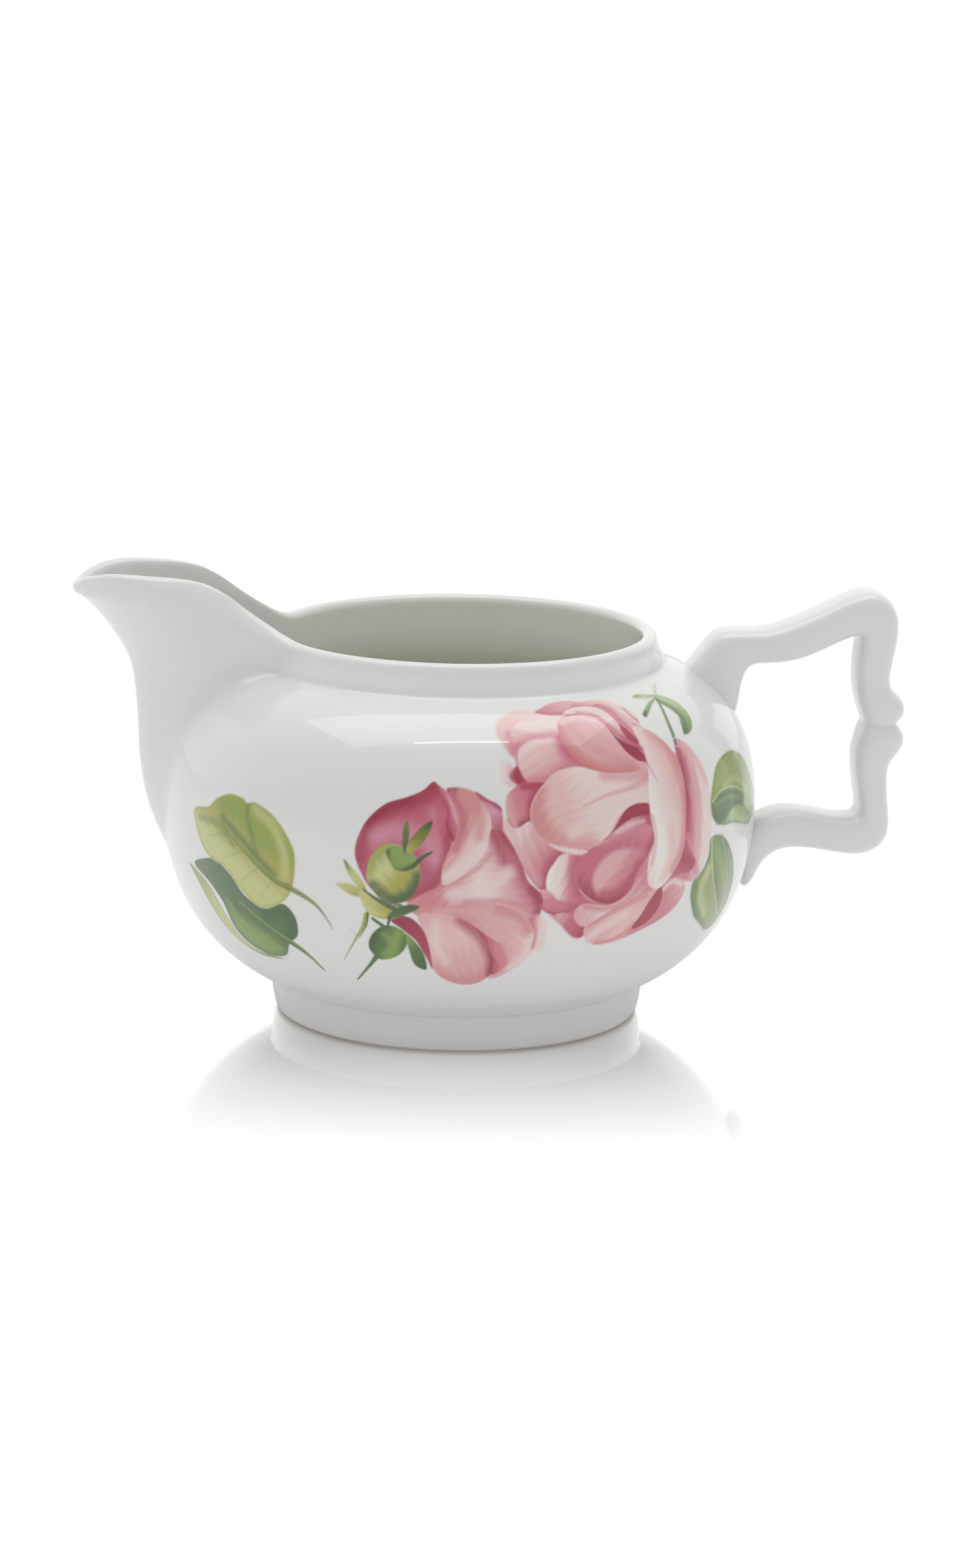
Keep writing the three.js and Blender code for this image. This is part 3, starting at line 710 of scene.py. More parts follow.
    # the folds under the heart
    b.petal([(17, 2.6), (18.8, 4.5), (20.4, 6.4), (22.4, 7.2), (24.8, 7), (25.2, 6), (24.8, 4.8),
            (22.6, 5), (20, 4), (18, 2.7)], "raspberry crimson crimson", 20, edge=0.22)
    b.petal([(16.4, 2.5), (18.6, 3.8), (21, 5), (23.4, 5.4), (24.9, 5), (25, 3.6), (22.6, 3.6),
            (19.6, 2.8)], "pink lilac mauve", 20)
    b.shade([(18.6, 3.5), (21, 4.3), (23.6, 4.6)], 0.6, "cream", 0.55)
    b.petal([(12.6, 0.4), (14.2, 1.6), (16.8, 2.4), (20, 3.2), (22.8, 3.9), (24.9, 3.7), (25.6, 1.8),
            (24.2, -0.6), (22.6, -2.6), (21.4, -5.2), (19.6, -6.8), (17.2, -7.2), (14.6, -6.2),
            (12.6, -4.2), (11.9, -1.8)], "crimson rose rose pink", 70, grain=60)
    b.shade([(16, 2), (20, 3), (24.6, 3.2)], 1.1, "pink", 0.7)
    b.shade([(25.4, 1.6), (23.6, -1.6), (22, -4.4), (19.4, -6.4), (16.6, -6.8)], 1.5, "crimson", 0.75)
    b.border(0.3, "cream", 0.8, 175)
    b.petal([(14.9, -3.4), (15.5, -1.4), (17.4, 0.3), (20, 0.9), (24, 0.1), (23, -1.6), (21.8, -3.6),
            (20.6, -5.2), (18.4, -6), (16, -5.6)], "rose pink blush blush", 140, grain=40, edge=1.1)
    b.shade([(22.8, -1.8), (21.4, -4), (19, -5.7), (16.4, -5.6)], 1.5, "raspberry", 0.75)
    # white-tipped petal at the lower left
    b.petal([(8.8, -0.2), (10, 1), (12.8, 0.7), (12, -1.8), (12.8, -4.4), (13.2, -5.6), (11.4, -6.5),
            (9.2, -5.8), (7.8, -4.2), (7.8, -1.9)], "rose pink cream white", 175, grain=80)
    b.shade([(12.4, 0), (12, -2.2), (12.9, -5)], 1.7, "mauve", 0.8)
    b.shade([(8.2, -4.8), (9.8, -6.1), (12.4, -6.4)], 0.6, "rose", 0.6)
    b.petal([(7.8, 2.6), (10, 2.1), (13.8, 1.2), (12.4, 0.8), (10, 1.4)], "cream cream", 0, edge=0.5)
    # the skirt of long petals
    b.petal([(6.7, -4.3), (8, -4.2), (9.4, -5.8), (11.6, -6.8), (13.2, -6.6), (12, -7.6), (9.4, -8.1),
            (7.4, -7.3), (6.4, -5.8)], "rose pink blush", 100, edge=0.3)
    b.border(0.6, "raspberry", 0.7, 270)
    b.petal([(9.4, -8.2), (11.4, -8.1), (13.2, -9.4), (14.9, -10.6), (14.2, -12.2), (12.8, -12.2),
            (11, -10.6)], "raspberry rose blush", 150, edge=0.6)
    b.petal([(12.3, -8.7), (12.8, -7.2), (14.2, -6.8), (18, -7.4), (21, -6.2), (23.2, -3.4), (24.5, -2.6),
            (25.2, -4.2), (26, -5.8), (22.6, -6.8), (18.6, -8.2), (15.6, -10), (13.8, -10.4)],
            "blush cream pink", 20, grain=25)
    b.shade([(14, -7.2), (18, -7.9), (21.6, -6.6), (24, -4)], 0.9, "pink", 0.75)
    b.petal([(14.4, -10.6), (17.4, -8.9), (21.4, -7.5), (26.9, -5.7), (25.6, -7.6), (24.2, -9.8),
            (22.4, -12.3), (20, -13.7), (17, -13.9), (15, -12.8)], "blush peach blush", 20, grain=25)
    b.shade([(15.4, -12.4), (17.4, -11), (21, -9.4)], 1.2, "cream", 0.75)
    b.shade([(17, -13.6), (20.4, -13.3), (23.4, -11)], 0.8, "pink", 0.7)
    b.shade([(15, -10.4), (19, -8.6), (24.6, -6.8)], 0.6, "pink", 0.7)
    b.petal([(20, -13.9), (22, -12.9), (25.8, -11.4), (27.6, -9.4), (27.6, -6.4), (29, -5), (31.4, -5.2),
            (32.8, -7), (31.6, -9.4), (28.6, -11.2), (24.4, -12.6)], "blush pink pink blush", 30,
            grain=40, edge=0.4)
    b.shade([(28, -6.2), (29.8, -5.3), (32, -6.2)], 0.7, "cream", 0.85)
    b.petal([(27.2, -5.8), (27.9, -7.2), (27.4, -9.4), (25.8, -11.2), (23.6, -12), (23, -11.6),
            (24.2, -9.8), (25.4, -7.7)], "crimson raspberry crimson", 60, edge=0.25)
    # tall petals at the right
    b.petal([(34, 15.3), (35.8, 15), (37.8, 12.6), (38.7, 9), (38.5, 4), (38, -0.8), (36.8, -4),
            (35.4, -5.8), (33.6, -6), (31.7, -4.4), (31.6, -0.4), (32, 4), (32.6, 8), (33, 12)],
            "rose pink blush cream cream", 355, grain=85, edge=0.35)
    b.shade([(33.6, 14.4), (33.2, 10), (32.6, 5), (32.2, 1)], 1.7, "raspberry", 0.85)
    b.shade([(35, 14.6), (37, 12.4), (38.3, 8.6)], 1.4, "blush", 0.7)
    b.shade([(34.4, 8), (35, 3), (34.6, -1.6)], 1.3, "blush", 0.5)
    b.shade([(32.4, 1), (33.4, -2), (35.6, -5.4)], 1.2, "pink", 0.7)
    b.petal([(29, -4.6), (30.6, -2.9), (31.5, -0.8), (32, 1.8), (32.8, -0.6), (34.6, -3.2), (33.4, -4.4),
            (31.6, -4.4)], "rose raspberry rose", 60, edge=0.5)
    b.petal([(26.7, 18.8), (28.8, 18.3), (30.8, 16.6), (32.4, 14), (33, 11), (32.7, 7.5), (32, 3),
            (31.6, -0.4), (30, -3.4), (28, -5.4), (26.2, -6), (24.6, -4.6), (24.5, -1), (25.5, 1.8),
            (24.9, 5), (25.2, 8.8), (26.1, 12), (26.3, 15)], "cream white cream peach salmon", 10,
            grain=87)
    b.shade([(29.6, 17.2), (31.8, 14), (32.4, 10)], 2, "salmon", 0.6)
    b.shade([(32.6, 8), (32, 3), (31.2, -0.6), (29.4, -3.4)], 1.5, "pink", 0.8)
    b.shade([(28.8, 3), (29.2, -0.6), (27.6, -4.4)], 1.5, "peach", 0.7)
    b.shade([(25.2, -2), (25.8, 1.6), (25.4, 5)], 0.6, "blush", 0.7)
    b.stroke([(26.4, 15.2), (26.3, 12.6), (27.4, 9.8)], 0.4, 0.05, "raspberry", 0.7, edge=0.3)
    b.stroke([(24.8, 6.6), (25.1, 3.6), (25.4, 1.4), (24.8, -0.6)], 0.3, 0.2, "crimson", 0.6, edge=0.45)


def paint_bud(b):
    """The half-open rose with its green hips."""
    b.petal([(-8.4, 10.6), (-2, 9.6), (0.6, 7), (2, 2.6), (4.4, -2), (6.6, -5.4), (6.6, -12), (4, -16.6),
            (0, -18.6), (-5, -19.8), (-8.6, -16), (-9.6, -10), (-12, -6.4), (-16, -4.8), (-19.2, 0),
            (-18, 5.4), (-13, 8.8)], "raspberry pink pink", 0, edge=0.8)
    b.petal([(-9.2, 11.7), (-10.6, 10.4), (-13, 9.3), (-16, 8.2), (-18.4, 6), (-19.8, 3.4), (-20.3, 0.8),
            (-19.4, -2), (-17.6, -4.5), (-14, -6), (-9, -4.2), (-7.2, -1.4), (-6.2, 3.2), (-5.8, 7.2),
            (-7, 9.6), (-8.4, 11.3)], "mauve mauve rose raspberry", 110, grain=30)
    b.shade([(-19.6, 0), (-18.8, 4), (-15.6, 7.4), (-11.8, 9), (-9.3, 11)], 2.1, "crimson", 0.9)
    b.shade([(-18.6, 5.2), (-16, 7.6), (-12.4, 9)], 1, "wine", 0.7)
    b.shade([(-17, 3.6), (-14.4, 4.4), (-10, 3.6), (-8.4, 0.6)], 2.4, "lilac", 0.6)
    b.shade([(-9, -3.6), (-10.8, -4.4), (-12.6, -5.4)], 1.7, "raspberry", 0.85)
    b.shade([(-9, 7.6), (-8.6, 4.8), (-8, 2)], 1.2, "pink", 0.7)
    b.shade([(-6.6, 4), (-7.2, 0.4), (-8.2, -2.6)], 1.1, "raspberry", 0.7)
    b.petal([(-8.2, 11.2), (-7, 10), (-5.9, 8.2), (-5.3, 5.6), (-5.9, 3.3), (-6.9, 5.4), (-6.6, 7.6),
            (-7.9, 9.6)], "raspberry rose blush", 20)
    b.stroke([(-8, 9.8), (-6.7, 7.6), (-6.9, 5.6), (-5.9, 3.4)], 0.3, 0.6, "crimson", 0.65, edge=0.5)
    # the crescent and the fan
    b.petal([(-7, 10.8), (-4.6, 10.9), (-2, 9.7), (-0.6, 7), (-0.5, 3.8), (-1.8, 0.9), (-4.6, -1.8),
            (-7.2, -3.2), (-7.5, -1), (-6.6, 1.8), (-5.5, 4.2), (-5.3, 7), (-6.3, 9.4)],
            "raspberry salmon salmon peach cream", 330, grain=72)
    b.shade([(-6.6, 10), (-5, 8), (-4.6, 5), (-5.6, 2)], 1.1, "rose", 0.7)
    b.shade([(-3.2, 10), (-2.2, 7), (-2.2, 4)], 1.4, "salmon", 0.6)
    b.shade([(-2.6, 2), (-4.6, -0.4), (-6.8, -2)], 1.5, "cream", 0.85)
    b.petal([(-2.8, 10.3), (-1, 9.3), (0.8, 8.3), (1.2, 6.8), (0.9, 4.6), (-0.3, 5), (-0.8, 7.4)],
            "rose lilac mauve", 300)
    b.shade([(-2.4, 10.1), (-0.4, 9), (0.9, 8)], 0.9, "crimson", 0.85)
    b.petal([(-0.5, 5), (1, 4.8), (2.6, 2.6), (4, -0.4), (5, -2.8), (7, -4.8), (7.2, -7), (6.2, -8.8),
            (3.6, -7.2), (0, -6.1), (-5, -6.3), (-11.6, -7.2), (-12.2, -6), (-9, -4), (-6, -2.9),
            (-3.2, -0.6), (-1.2, 1.8)], "salmon pink blush cream blush rose", 20, grain=20)
    b.shade([(-0.2, 4.6), (0.6, 2.8), (1.6, 0.6)], 2, "raspberry", 0.85)
    b.shade([(1.2, 4.4), (3.2, 1), (4.6, -2.4), (6.9, -5.6)], 1.5, "crimson", 0.9)
    b.shade([(2.4, 0.6), (3.8, -2.6), (5.8, -6)], 2.2, "rose", 0.6)
    b.shade([(-0.6, 1.4), (-2.8, -0.9), (-6, -2.9), (-10.6, -4.8)], 0.9, "salmon_deep", 0.6)
    b.shade([(2, -1.4), (-1, -3.6), (-6, -4.6)], 1.8, "cream", 0.75)
    b.shade([(-4, -5.9), (1, -5.7), (5, -6.6)], 1, "pink", 0.7)
    b.shade([(5.6, -4), (6.6, -6), (6.4, -8.2)], 1.2, "wine", 0.6)
    b.petal([(-11.6, -7), (-6, -6.4), (0, -6.2), (4, -7.3), (6.2, -10), (7, -13), (5.6, -15.4), (3, -18),
            (0, -19.2), (-2, -15), (-6, -10), (-10.8, -8.2)], "salmon salmon blush peach", 0, grain=-38,
            edge=0.4)
    b.shade([(1, -6.8), (3.8, -8), (5.6, -10.6)], 1.8, "salmon_deep", 0.65)
    b.shade([(3.4, -17), (5.4, -14.8), (6, -12)], 1.6, "cream", 0.8)
    b.shade([(-8, -7.1), (-3, -7.2), (1.4, -9.6)], 1.2, "blush", 0.6)
    b.stroke([(5.4, -8.6), (6.6, -10.6), (6.4, -13.4)], 0.25, 0.5, "rose", 0.7, edge=0.4)
    b.petal([(6.2, -8.2), (7.8, -8.6), (9, -11), (8.4, -13.6), (7, -14), (6.8, -11)],
            "blush cream porcelain", 0, edge=1)
    b.petal([(-4.2, -8.6), (-1.6, -10.4), (0.8, -12.2), (2.6, -13), (3.3, -14.8), (2.4, -17),
            (0.2, -18.4), (-1, -15), (-2.6, -11.6)], "crimson raspberry pink blush", 15, grain=-60,
            edge=0.5)
    b.petal([(-11, -8.1), (-8, -7.5), (-4.6, -8.4), (-2.2, -10.6), (-0.3, -13.6), (0.6, -16.4),
            (-0.2, -19), (-2.6, -20.6), (-5.4, -20.4), (-8, -18.8), (-9.3, -16), (-9.6, -12)],
            "salmon blush peach blush", 105, grain=-70, edge=0.3)
    b.shade([(-4.6, -8.6), (-1.8, -11.2), (0, -14.6), (0.3, -18)], 1.8, "raspberry", 0.85)
    b.shade([(0, -14), (0.5, -16.4), (0, -18.4)], 0.9, "wine", 0.7)
    b.shade([(-8.6, -17.4), (-5.4, -19.9), (-1.6, -19.8)], 1.9, "salmon", 0.7)
    b.shade([(-8.4, -9), (-8.3, -13), (-6.8, -16)], 1.4, "cream", 0.6)
    b.petal([(-15.1, -9), (-13.6, -8.2), (-11.8, -8.6), (-10.2, -10.4), (-9.4, -13.2), (-9, -17.4),
            (-10, -15), (-11.4, -12.2), (-13.4, -10.4)], "mauve crimson wine", 118, edge=0.25)
    # the hips
    b.petal([(-18.5, -1.8), (-17.8, 0.6), (-16.2, 2.3), (-14.6, 2.6), (-12.4, 1.8), (-10.9, 0),
            (-10.7, -2.6), (-11.8, -5), (-14, -6.3), (-16.4, -5.6), (-18.1, -3.8)], "fern moss lime leaf",
            135, grain=-60)
    b.shade([(-17.6, -3.6), (-15, -5.6), (-12, -4.8), (-10.9, -2)], 1.5, "pine", 0.8)
    b.shade([(-18, -2), (-17.4, 0.6), (-15.8, 2)], 1, "moss", 0.8)
    b.petal([(-15.6, 1.6), (-13.6, 2.3), (-11.6, 1.1), (-11, -0.4), (-12.6, -1.3), (-14.4, -1)],
            "leaf sage", 60)
    b.shade([(-15.5, 1.4), (-15.3, -0.4), (-13.8, -1.5), (-12, -0.8)], 0.8, "pine", 0.95)
    b.petal([(-12.7, 6.2), (-12.3, 4.6), (-12.6, 1.6), (-13.1, 1.6), (-13.3, 4.4)], "pine olive", 90)
    b.petal([(-9, 6.1), (-10.9, 4.9), (-12.4, 2.8), (-12.6, 1.4), (-11, 2.1), (-9.7, 3.8)],
            "moss olive pine", 70, grain=50)
    b.stroke([(-9, 1.6), (-10.3, 0.8), (-11.7, -0.6)], 0.35, 0.7, "pine")
    b.petal([(-22, -0.3), (-20.8, -1.4), (-19.4, -2.8), (-18.4, -5), (-20, -4.2), (-21.4, -2.2)],
            "olive lime moss", 320, grain=-50)
    b.petal([(-23.2, -4), (-21, -3.9), (-18.4, -5.3), (-20.4, -5.7), (-22.4, -4.8)], "lime moss", 300,
            grain=-20)
    b.petal([(-19.6, -4.8), (-17, -5.6), (-14.8, -6.6), (-11, -6.4), (-12.6, -7.6), (-15, -8.9),
            (-17.8, -8.6), (-19.2, -7)], "moss moss lime", 200, grain=-28)
    b.stroke([(-19, -4.6), (-17, -5.9), (-14.4, -7.2)], 0.3, 0.9, "pine", 0.85)
    b.stroke([(-18.2, -3.6), (-16.2, -5.8), (-13.4, -6.6)], 0.15, 0.5, "pine", 0.8)
    b.petal([(-10.7, -6.6), (-12.4, -6.4), (-14.6, -7.4), (-15.6, -8.7), (-13.8, -8.4), (-11.8, -7.5)],
            "fern pine", 60, grain=25)
    b.stroke([(-18.7, -8.3), (-19.4, -10.4), (-21, -13), (-23.6, -17)], 0.75, 0.1, "moss")
    b.stroke([(-18.5, -8.3), (-18.9, -10.2), (-20.2, -12.4)], 0.45, 0.1, "pine", 0.85)
    b.stroke([(-20.6, -12), (-21.6, -11.2)], 0.12, 0.05, "pine", 0.7)
    b.stroke([(-19.4, -9.8), (-18.3, -10.6)], 0.12, 0.05, "pine", 0.7)
    b.petal([(-18.8, -14), (-18.2, -11.8), (-16.4, -10.1), (-14.2, -10.1), (-12.6, -11.6), (-13.2, -13.8),
            (-15, -15.5), (-17.4, -16)], "pine fern leaf fern", 340, grain=50)
    b.shade([(-16, -11.6), (-14.6, -13.6), (-16.4, -15)], 1.2, "sage", 0.6)
    b.border(0.5, "pine", 0.6, 150)
    b.stroke([(-15.2, -8.6), (-15.6, -10.2)], 0.5, 0.3, "pine")
    b.stroke([(-17.8, -9), (-16.2, -10.1)], 0.5, 0.6, "fern")
    b.stroke([(-18, -15.8), (-19.2, -17.4), (-22.2, -21)], 0.8, 0.25, "fern")
    b.petal([(-12.8, -11.2), (-11.2, -12.8), (-10.2, -14.8), (-10, -17.5), (-11.6, -16.9),
            (-12.3, -15.2)], "sage fern pine", 320, grain=-60)


def paint_roses(b):
    """Both flowers, the bud over the rose's outer petals."""
    paint_rose(b)
    paint_bud(b)


def paint_left_leaves(b):
    """The two leaves beside the spout."""
    b.petal([(-55, -6.5), (-52.8, -8.9), (-50.4, -12.4), (-48, -15.9), (-45, -18.1), (-41, -19.4),
            (-36, -19), (-41.6, -18.6), (-44.6, -16.9), (-46.4, -13.8), (-47.8, -11), (-50.2, -8.3)],
            "sage lime sage", 330, grain=-55, edge=0.3)
    b.border(0.35, "fern", 0.5)
    b.petal([(-53, -6.2), (-50, -4.8), (-46.4, -4.3), (-43, -6), (-40.4, -8.6), (-36.6, -10),
            (-32.8, -8.6), (-30.8, -10.4), (-31, -13.4), (-33.2, -15.4), (-35, -18), (-39, -18.8),
            (-43, -17.5), (-45.2, -15), (-46.2, -11), (-49, -8.2)], "fern sage_dark fern leaf leaf", 245,
            grain=-38)
    b.border(1.5, "sage_dark", 0.85)
    b.border(0.5, "pine", 0.5)
    b.shade([(-36.6, -11), (-32.6, -10), (-31.8, -13), (-33.6, -14.6)], 1.8, "pine", 0.75)
    b.shade([(-43.4, -14), (-40.6, -15.6), (-37, -16.6)], 1.5, "leaf", 0.8)
    b.shade([(-45, -10.4), (-42, -13.4), (-37.8, -15)], 1.1, "sage", 0.5)
    b.veins([((-43, -9.6), (-44, -14)), ((-40.5, -11.2), (-41.4, -17)), ((-37.8, -12.4), (-38, -18)),
             ((-41.4, -10.2), (-38, -10.4)), ((-37, -12.6), (-33.6, -11.4))], 0.3, 0.55, "pine", 0.2)
    b.stroke([(-45, -8.2), (-41, -10.6), (-37, -12.8), (-33, -14.9)], 0.15, 1.0, "sage_dark", edge=0.3)
    b.stroke([(-33.4, -14.7), (-31, -16.2), (-29.4, -17.8), (-28, -20)], 1.1, 0.25, "fern", edge=0.25)
    b.stroke([(-42, -9.8), (-37, -12.6), (-33, -14.7), (-30.8, -16.1), (-28.9, -18.3)], 0.3, 0.35, "sage",
            0.8, edge=0.3)
    b.petal([(-52.4, 2.2), (-48.4, 3.4), (-46.4, 5), (-43.4, 6.2), (-40.4, 6), (-39.5, 5.5), (-37.6, 5.8),
            (-34, 4.4), (-31, 1.4), (-30, -1.6), (-31, -6.4), (-34, -9), (-37.6, -9.9), (-41, -7.7),
            (-44.2, -5), (-47.6, -4.2), (-50.4, -2.2)], "lime lime moss olive_light olive_light", 65,
            grain=-36)
    b.border(0.9, "moss", 0.6)
    b.shade([(-44.6, 4.6), (-40, 3.2), (-36, 0)], 1.8, "leaf", 0.55)
    b.shade([(-37.6, 5), (-34, 3), (-32, -0.6), (-31.8, -4)], 1.5, "lime", 0.65)
    b.shade([(-50, -0.6), (-45, -2.6), (-40.4, -6)], 1.6, "lime", 0.7)
    b.shade([(-50.6, 1.4), (-46, 1.4), (-42, -1)], 1, "fern", 0.45)
    b.shade([(-44.6, 2.6), (-39.4, -0.4), (-34, -4.2)], 1.2, "fern", 0.7)
    b.shade([(-39.4, 5.4), (-38.8, 2.6), (-37, -1.2)], 0.8, "fern", 0.45)
    b.veins([((-43.6, 0.8), (-46, 4.4)), ((-41, -0.6), (-42.6, 5.4)), ((-38, -2.4), (-38, 4)),
             ((-35.4, -4), (-33.4, 1.6)), ((-43, 0.2), (-49, -1)), ((-40, -1.6), (-45, -4)),
             ((-36.8, -3.6), (-41, -7)), ((-34, -5), (-37.4, -9))], -0.3, 0.5, "fern", 0.17)
    b.stroke([(-46.6, 2.6), (-43.3, 0.7), (-38.4, -2.4), (-34, -5), (-31.4, -5.7)], 0.12, 1.0, "olive",
            0.85, edge=0.3)
    b.stroke([(-31.8, -5.6), (-29, -6.6), (-27, -7.7), (-25.6, -9.2), (-24.4, -11.4)], 1.0, 0.12, "olive",
            0.9, edge=0.25)
    b.stroke([(-43, 0.7), (-38.4, -2.2), (-33.6, -4.8), (-29, -6.4), (-26.6, -8)], 0.2, 0.35, "sage", 0.8,
            edge=0.3)


def paint_right_leaves(b):
    """The leaves towards the handle and the sprig above the rose."""
    b.petal([(38.4, -0.4), (40.8, -0.3), (43.6, -1.8), (46.6, -5.2), (48.8, -9.4), (49.4, -14),
            (47, -16.4), (44, -16.4), (40, -14.2), (37, -12.2), (34.8, -9), (34.6, -6.4), (36.6, -5),
            (38, -2.8)], "leaf sage leaf sage_dark", 350, grain=-62)
    b.border(1.1, "sage_dark", 0.85)
    b.shade([(38.4, -5), (37.2, -8.6), (40.4, -13)], 1.7, "lime", 0.7)
    b.shade([(35.6, -7), (36.6, -10.6), (40.6, -14)], 1, "fern", 0.6)
    b.petal([(38.9, -0.6), (41, -0.3), (42.8, -1.4), (44.8, -5), (47.2, -9.8), (49, -14.6), (45.6, -13),
            (41.8, -9), (39.6, -4.6)], "fern leaf sage_dark", 40, grain=-58, edge=0.5)
    b.border(0.8, "sage_dark", 0.6, 20)
    b.stroke([(38.7, -0.6), (39.3, -4.4), (41.6, -9), (46.6, -14.4)], 0.5, 0.15, "lime", 0.8, edge=0.4)
    b.stroke([(39, -0.8), (39.8, -4.6), (42.1, -9), (46.4, -13.6)], 0.25, 0.1, "pine", 0.6, edge=0.3)
    b.stroke([(41.6, -0.8), (44, -4.4), (46.6, -10)], 0.3, 0.1, "sage_pale", 0.6, edge=0.4)
    b.petal([(38.6, 4.8), (39.6, 7), (42, 9.7), (45.6, 10.9), (50, 10.8), (54, 8.9), (56.4, 5.6),
            (58.3, 2.4), (57, -0.2), (53.4, -1.2), (49.4, -0.3), (45, 0.7), (41, 1.2), (38.8, 2.8)],
            "olive_light leaf sage sage", 0, grain=35)
    b.border(0.8, "olive", 0.6, 110)
    b.shade([(41.6, 7.4), (46, 8.8), (51, 7.6)], 1.2, "olive_light", 0.6)
    b.shade([(43, 6.6), (48, 7), (53, 4)], 1, "lime", 0.5)
    b.petal([(39, 5), (42, 5.9), (46, 5.7), (50.6, 4), (49.6, 2.4), (45.6, 3), (42.4, 1.6), (40.2, 1.4),
            (38.8, 3.2)], "fern sage_dark fern", 20, grain=10, edge=0.5)
    b.shade([(39.4, 3), (41, 2.2), (43, 2.6)], 1, "pine", 0.6)
    b.shade([(40, 4.4), (44, 4.8), (48, 4)], 0.6, "sage", 0.5)
    b.stroke([(39.2, 5), (42, 6.1), (46.4, 6), (51.6, 4)], 0.35, 0.2, "lime", 0.85, edge=0.4)
    b.petal([(42, 1.1), (45.4, 3), (49, 2.8), (53.2, 0.4), (54.4, -0.9), (50, -0.4), (46, 0.7)],
            "leaf sage_pale leaf", 60, grain=-15)
    b.border(0.5, "fern", 0.5)
    b.stroke([(42, 1.1), (45.4, 3.1), (49, 2.9), (53.4, 0.3)], 0.1, 0.35, "pine", 0.75, edge=0.25)
    # sprig
    b.stroke([(45, 26.2), (41.6, 25), (39, 23.4)], 0.3, 0.6, "sage_pale", 0.9, edge=0.35)
    b.petal([(32.8, 24.4), (35, 24.9), (39.2, 23.7), (36.6, 23.4), (34.4, 23.8)], "sage sage_pale sage",
            300)
    b.stroke([(39, 23.3), (35.2, 22.4), (31.4, 20.6)], 0.3, 0.75, "sage", edge=0.25)
    b.stroke([(38, 23), (34.8, 21.9), (31.4, 20.2)], 0.1, 0.3, "fern", 0.8, edge=0.25)
    b.stroke([(32.4, 21.2), (31.2, 20.4)], 0.4, 0.8, "pine", 0.85, edge=0.25)
    b.petal([(38.6, 23.6), (41, 22.9), (42.6, 20.8), (42.2, 18.2), (40, 16.2), (37.4, 15.8), (38.2, 17.4),
            (39.2, 19), (38.6, 20.8), (37.5, 22.4)], "fern leaf sage_pale", 50, grain=-40)
    b.shade([(38.4, 22.4), (39.8, 20), (39.8, 18), (38.4, 16.4)], 0.9, "pine", 0.7)
    b.border(0.4, "fern", 0.6)
    b.stroke([(38.2, 22.9), (36.4, 20.2), (35.2, 18), (34.1, 14.9)], 0.6, 0.8, "pine", 0.9, edge=0.25)
    b.stroke([(37.9, 22.2), (36.2, 19.8), (35.1, 17.6), (34.3, 15.8)], 0.35, 0.35, "leaf", 0.9, edge=0.2)

# ---- Enamel pieces ------------------------------------------------------------------------------------

ENAMEL_GRID = 0.16  # spacing of the points that hold the painting, mm
FLOWERS_MEET = 4.0  # millimetres round the belly from the front, where the two flowers' pieces touch


def enamel_palette(colours):
    """Each enamel colour by its name."""
    return {name: np.array(getattr(colours, name)) for name in colours.__annotations__}


def build_enamel(s, palette, name, paint, low, high):
    """Wraps a fine grid on the wall, paints it, trims it to the paint and thickens it."""
    form = Form(s)
    columns, rows = (round((high[i] - low[i]) / ENAMEL_GRID) for i in (0, 1))
    deselect()
    bpy.ops.mesh.primitive_grid_add(x_subdivisions=columns, y_subdivisions=rows, size=2)
    obj = bpy.context.object
    obj.name = obj.data.name = name
    plan = mix(np.array(low), np.array(high), (points_of(obj)[:, :2] * MM + 1) / 2)
    brush = Brush(plan, palette)
    paint(brush)
    turn = plan[:, 0] / s.belly_radius
    radius, height = form.wall(plan[:, 1])
    angle = np.arctan2(-np.cos(turn), -np.sin(turn))
    reach, height = form.pulled(radius, height, angle, np.zeros_like(radius))
    set_points(obj, np.column_stack([AXIS_X + reach * np.sin(turn), -reach * np.cos(turn), height]))
    tint(obj, brush.colour, brush.cover)
    bpy.ops.object.mode_set(mode="EDIT")
    bpy.ops.mesh.select_mode(type="FACE")
    bpy.ops.mesh.select_all(action="DESELECT")
    bpy.ops.object.mode_set(mode="OBJECT")
    obj.data.polygons.foreach_set("select", ~painted_cells(brush.cover, columns, rows).ravel())
    bpy.ops.object.mode_set(mode="EDIT")
    bpy.ops.mesh.delete(type="FACE")
    bpy.ops.object.mode_set(mode="OBJECT")
    coat = obj.modifiers.new("thickness", "SOLIDIFY")
    coat.thickness, coat.offset = ENAMEL_THICKNESS * MM, 2 * ENAMEL_PROUD / ENAMEL_THICKNESS - 1
    bpy.ops.object.modifier_apply(modifier=coat.name)
    return obj


def painted_cells(cover, columns, rows):
    """Which cells of the grid hold paint, with no two that touch only at a corner."""
    paint = cover.reshape(rows + 1, columns + 1) > 0.01
    keep = paint[1:, 1:] | paint[1:, :-1] | paint[:-1, 1:] | paint[:-1, :-1]
    while True:
        a, b, c, d = keep[1:, 1:], keep[:-1, :-1], keep[1:, :-1], keep[:-1, 1:]
        first, second = a & b & ~c & ~d, c & d & ~a & ~b
        if not (first.any() or second.any()):
            return keep
        keep[1:, :-1] |= first
        keep[1:, 1:] |= second


def sharpen_rim(obj):
    """Keeps the smooth shading of the top from turning over its thin edge."""
    only(obj)
    bpy.ops.object.mode_set(mode="EDIT")
    bpy.ops.mesh.select_mode(type="EDGE")
    bpy.ops.mesh.select_all(action="DESELECT")
    bpy.ops.mesh.edges_select_sharp(sharpness=math.radians(40))
    bpy.ops.mesh.mark_sharp()
    bpy.ops.object.mode_set(mode="OBJECT")


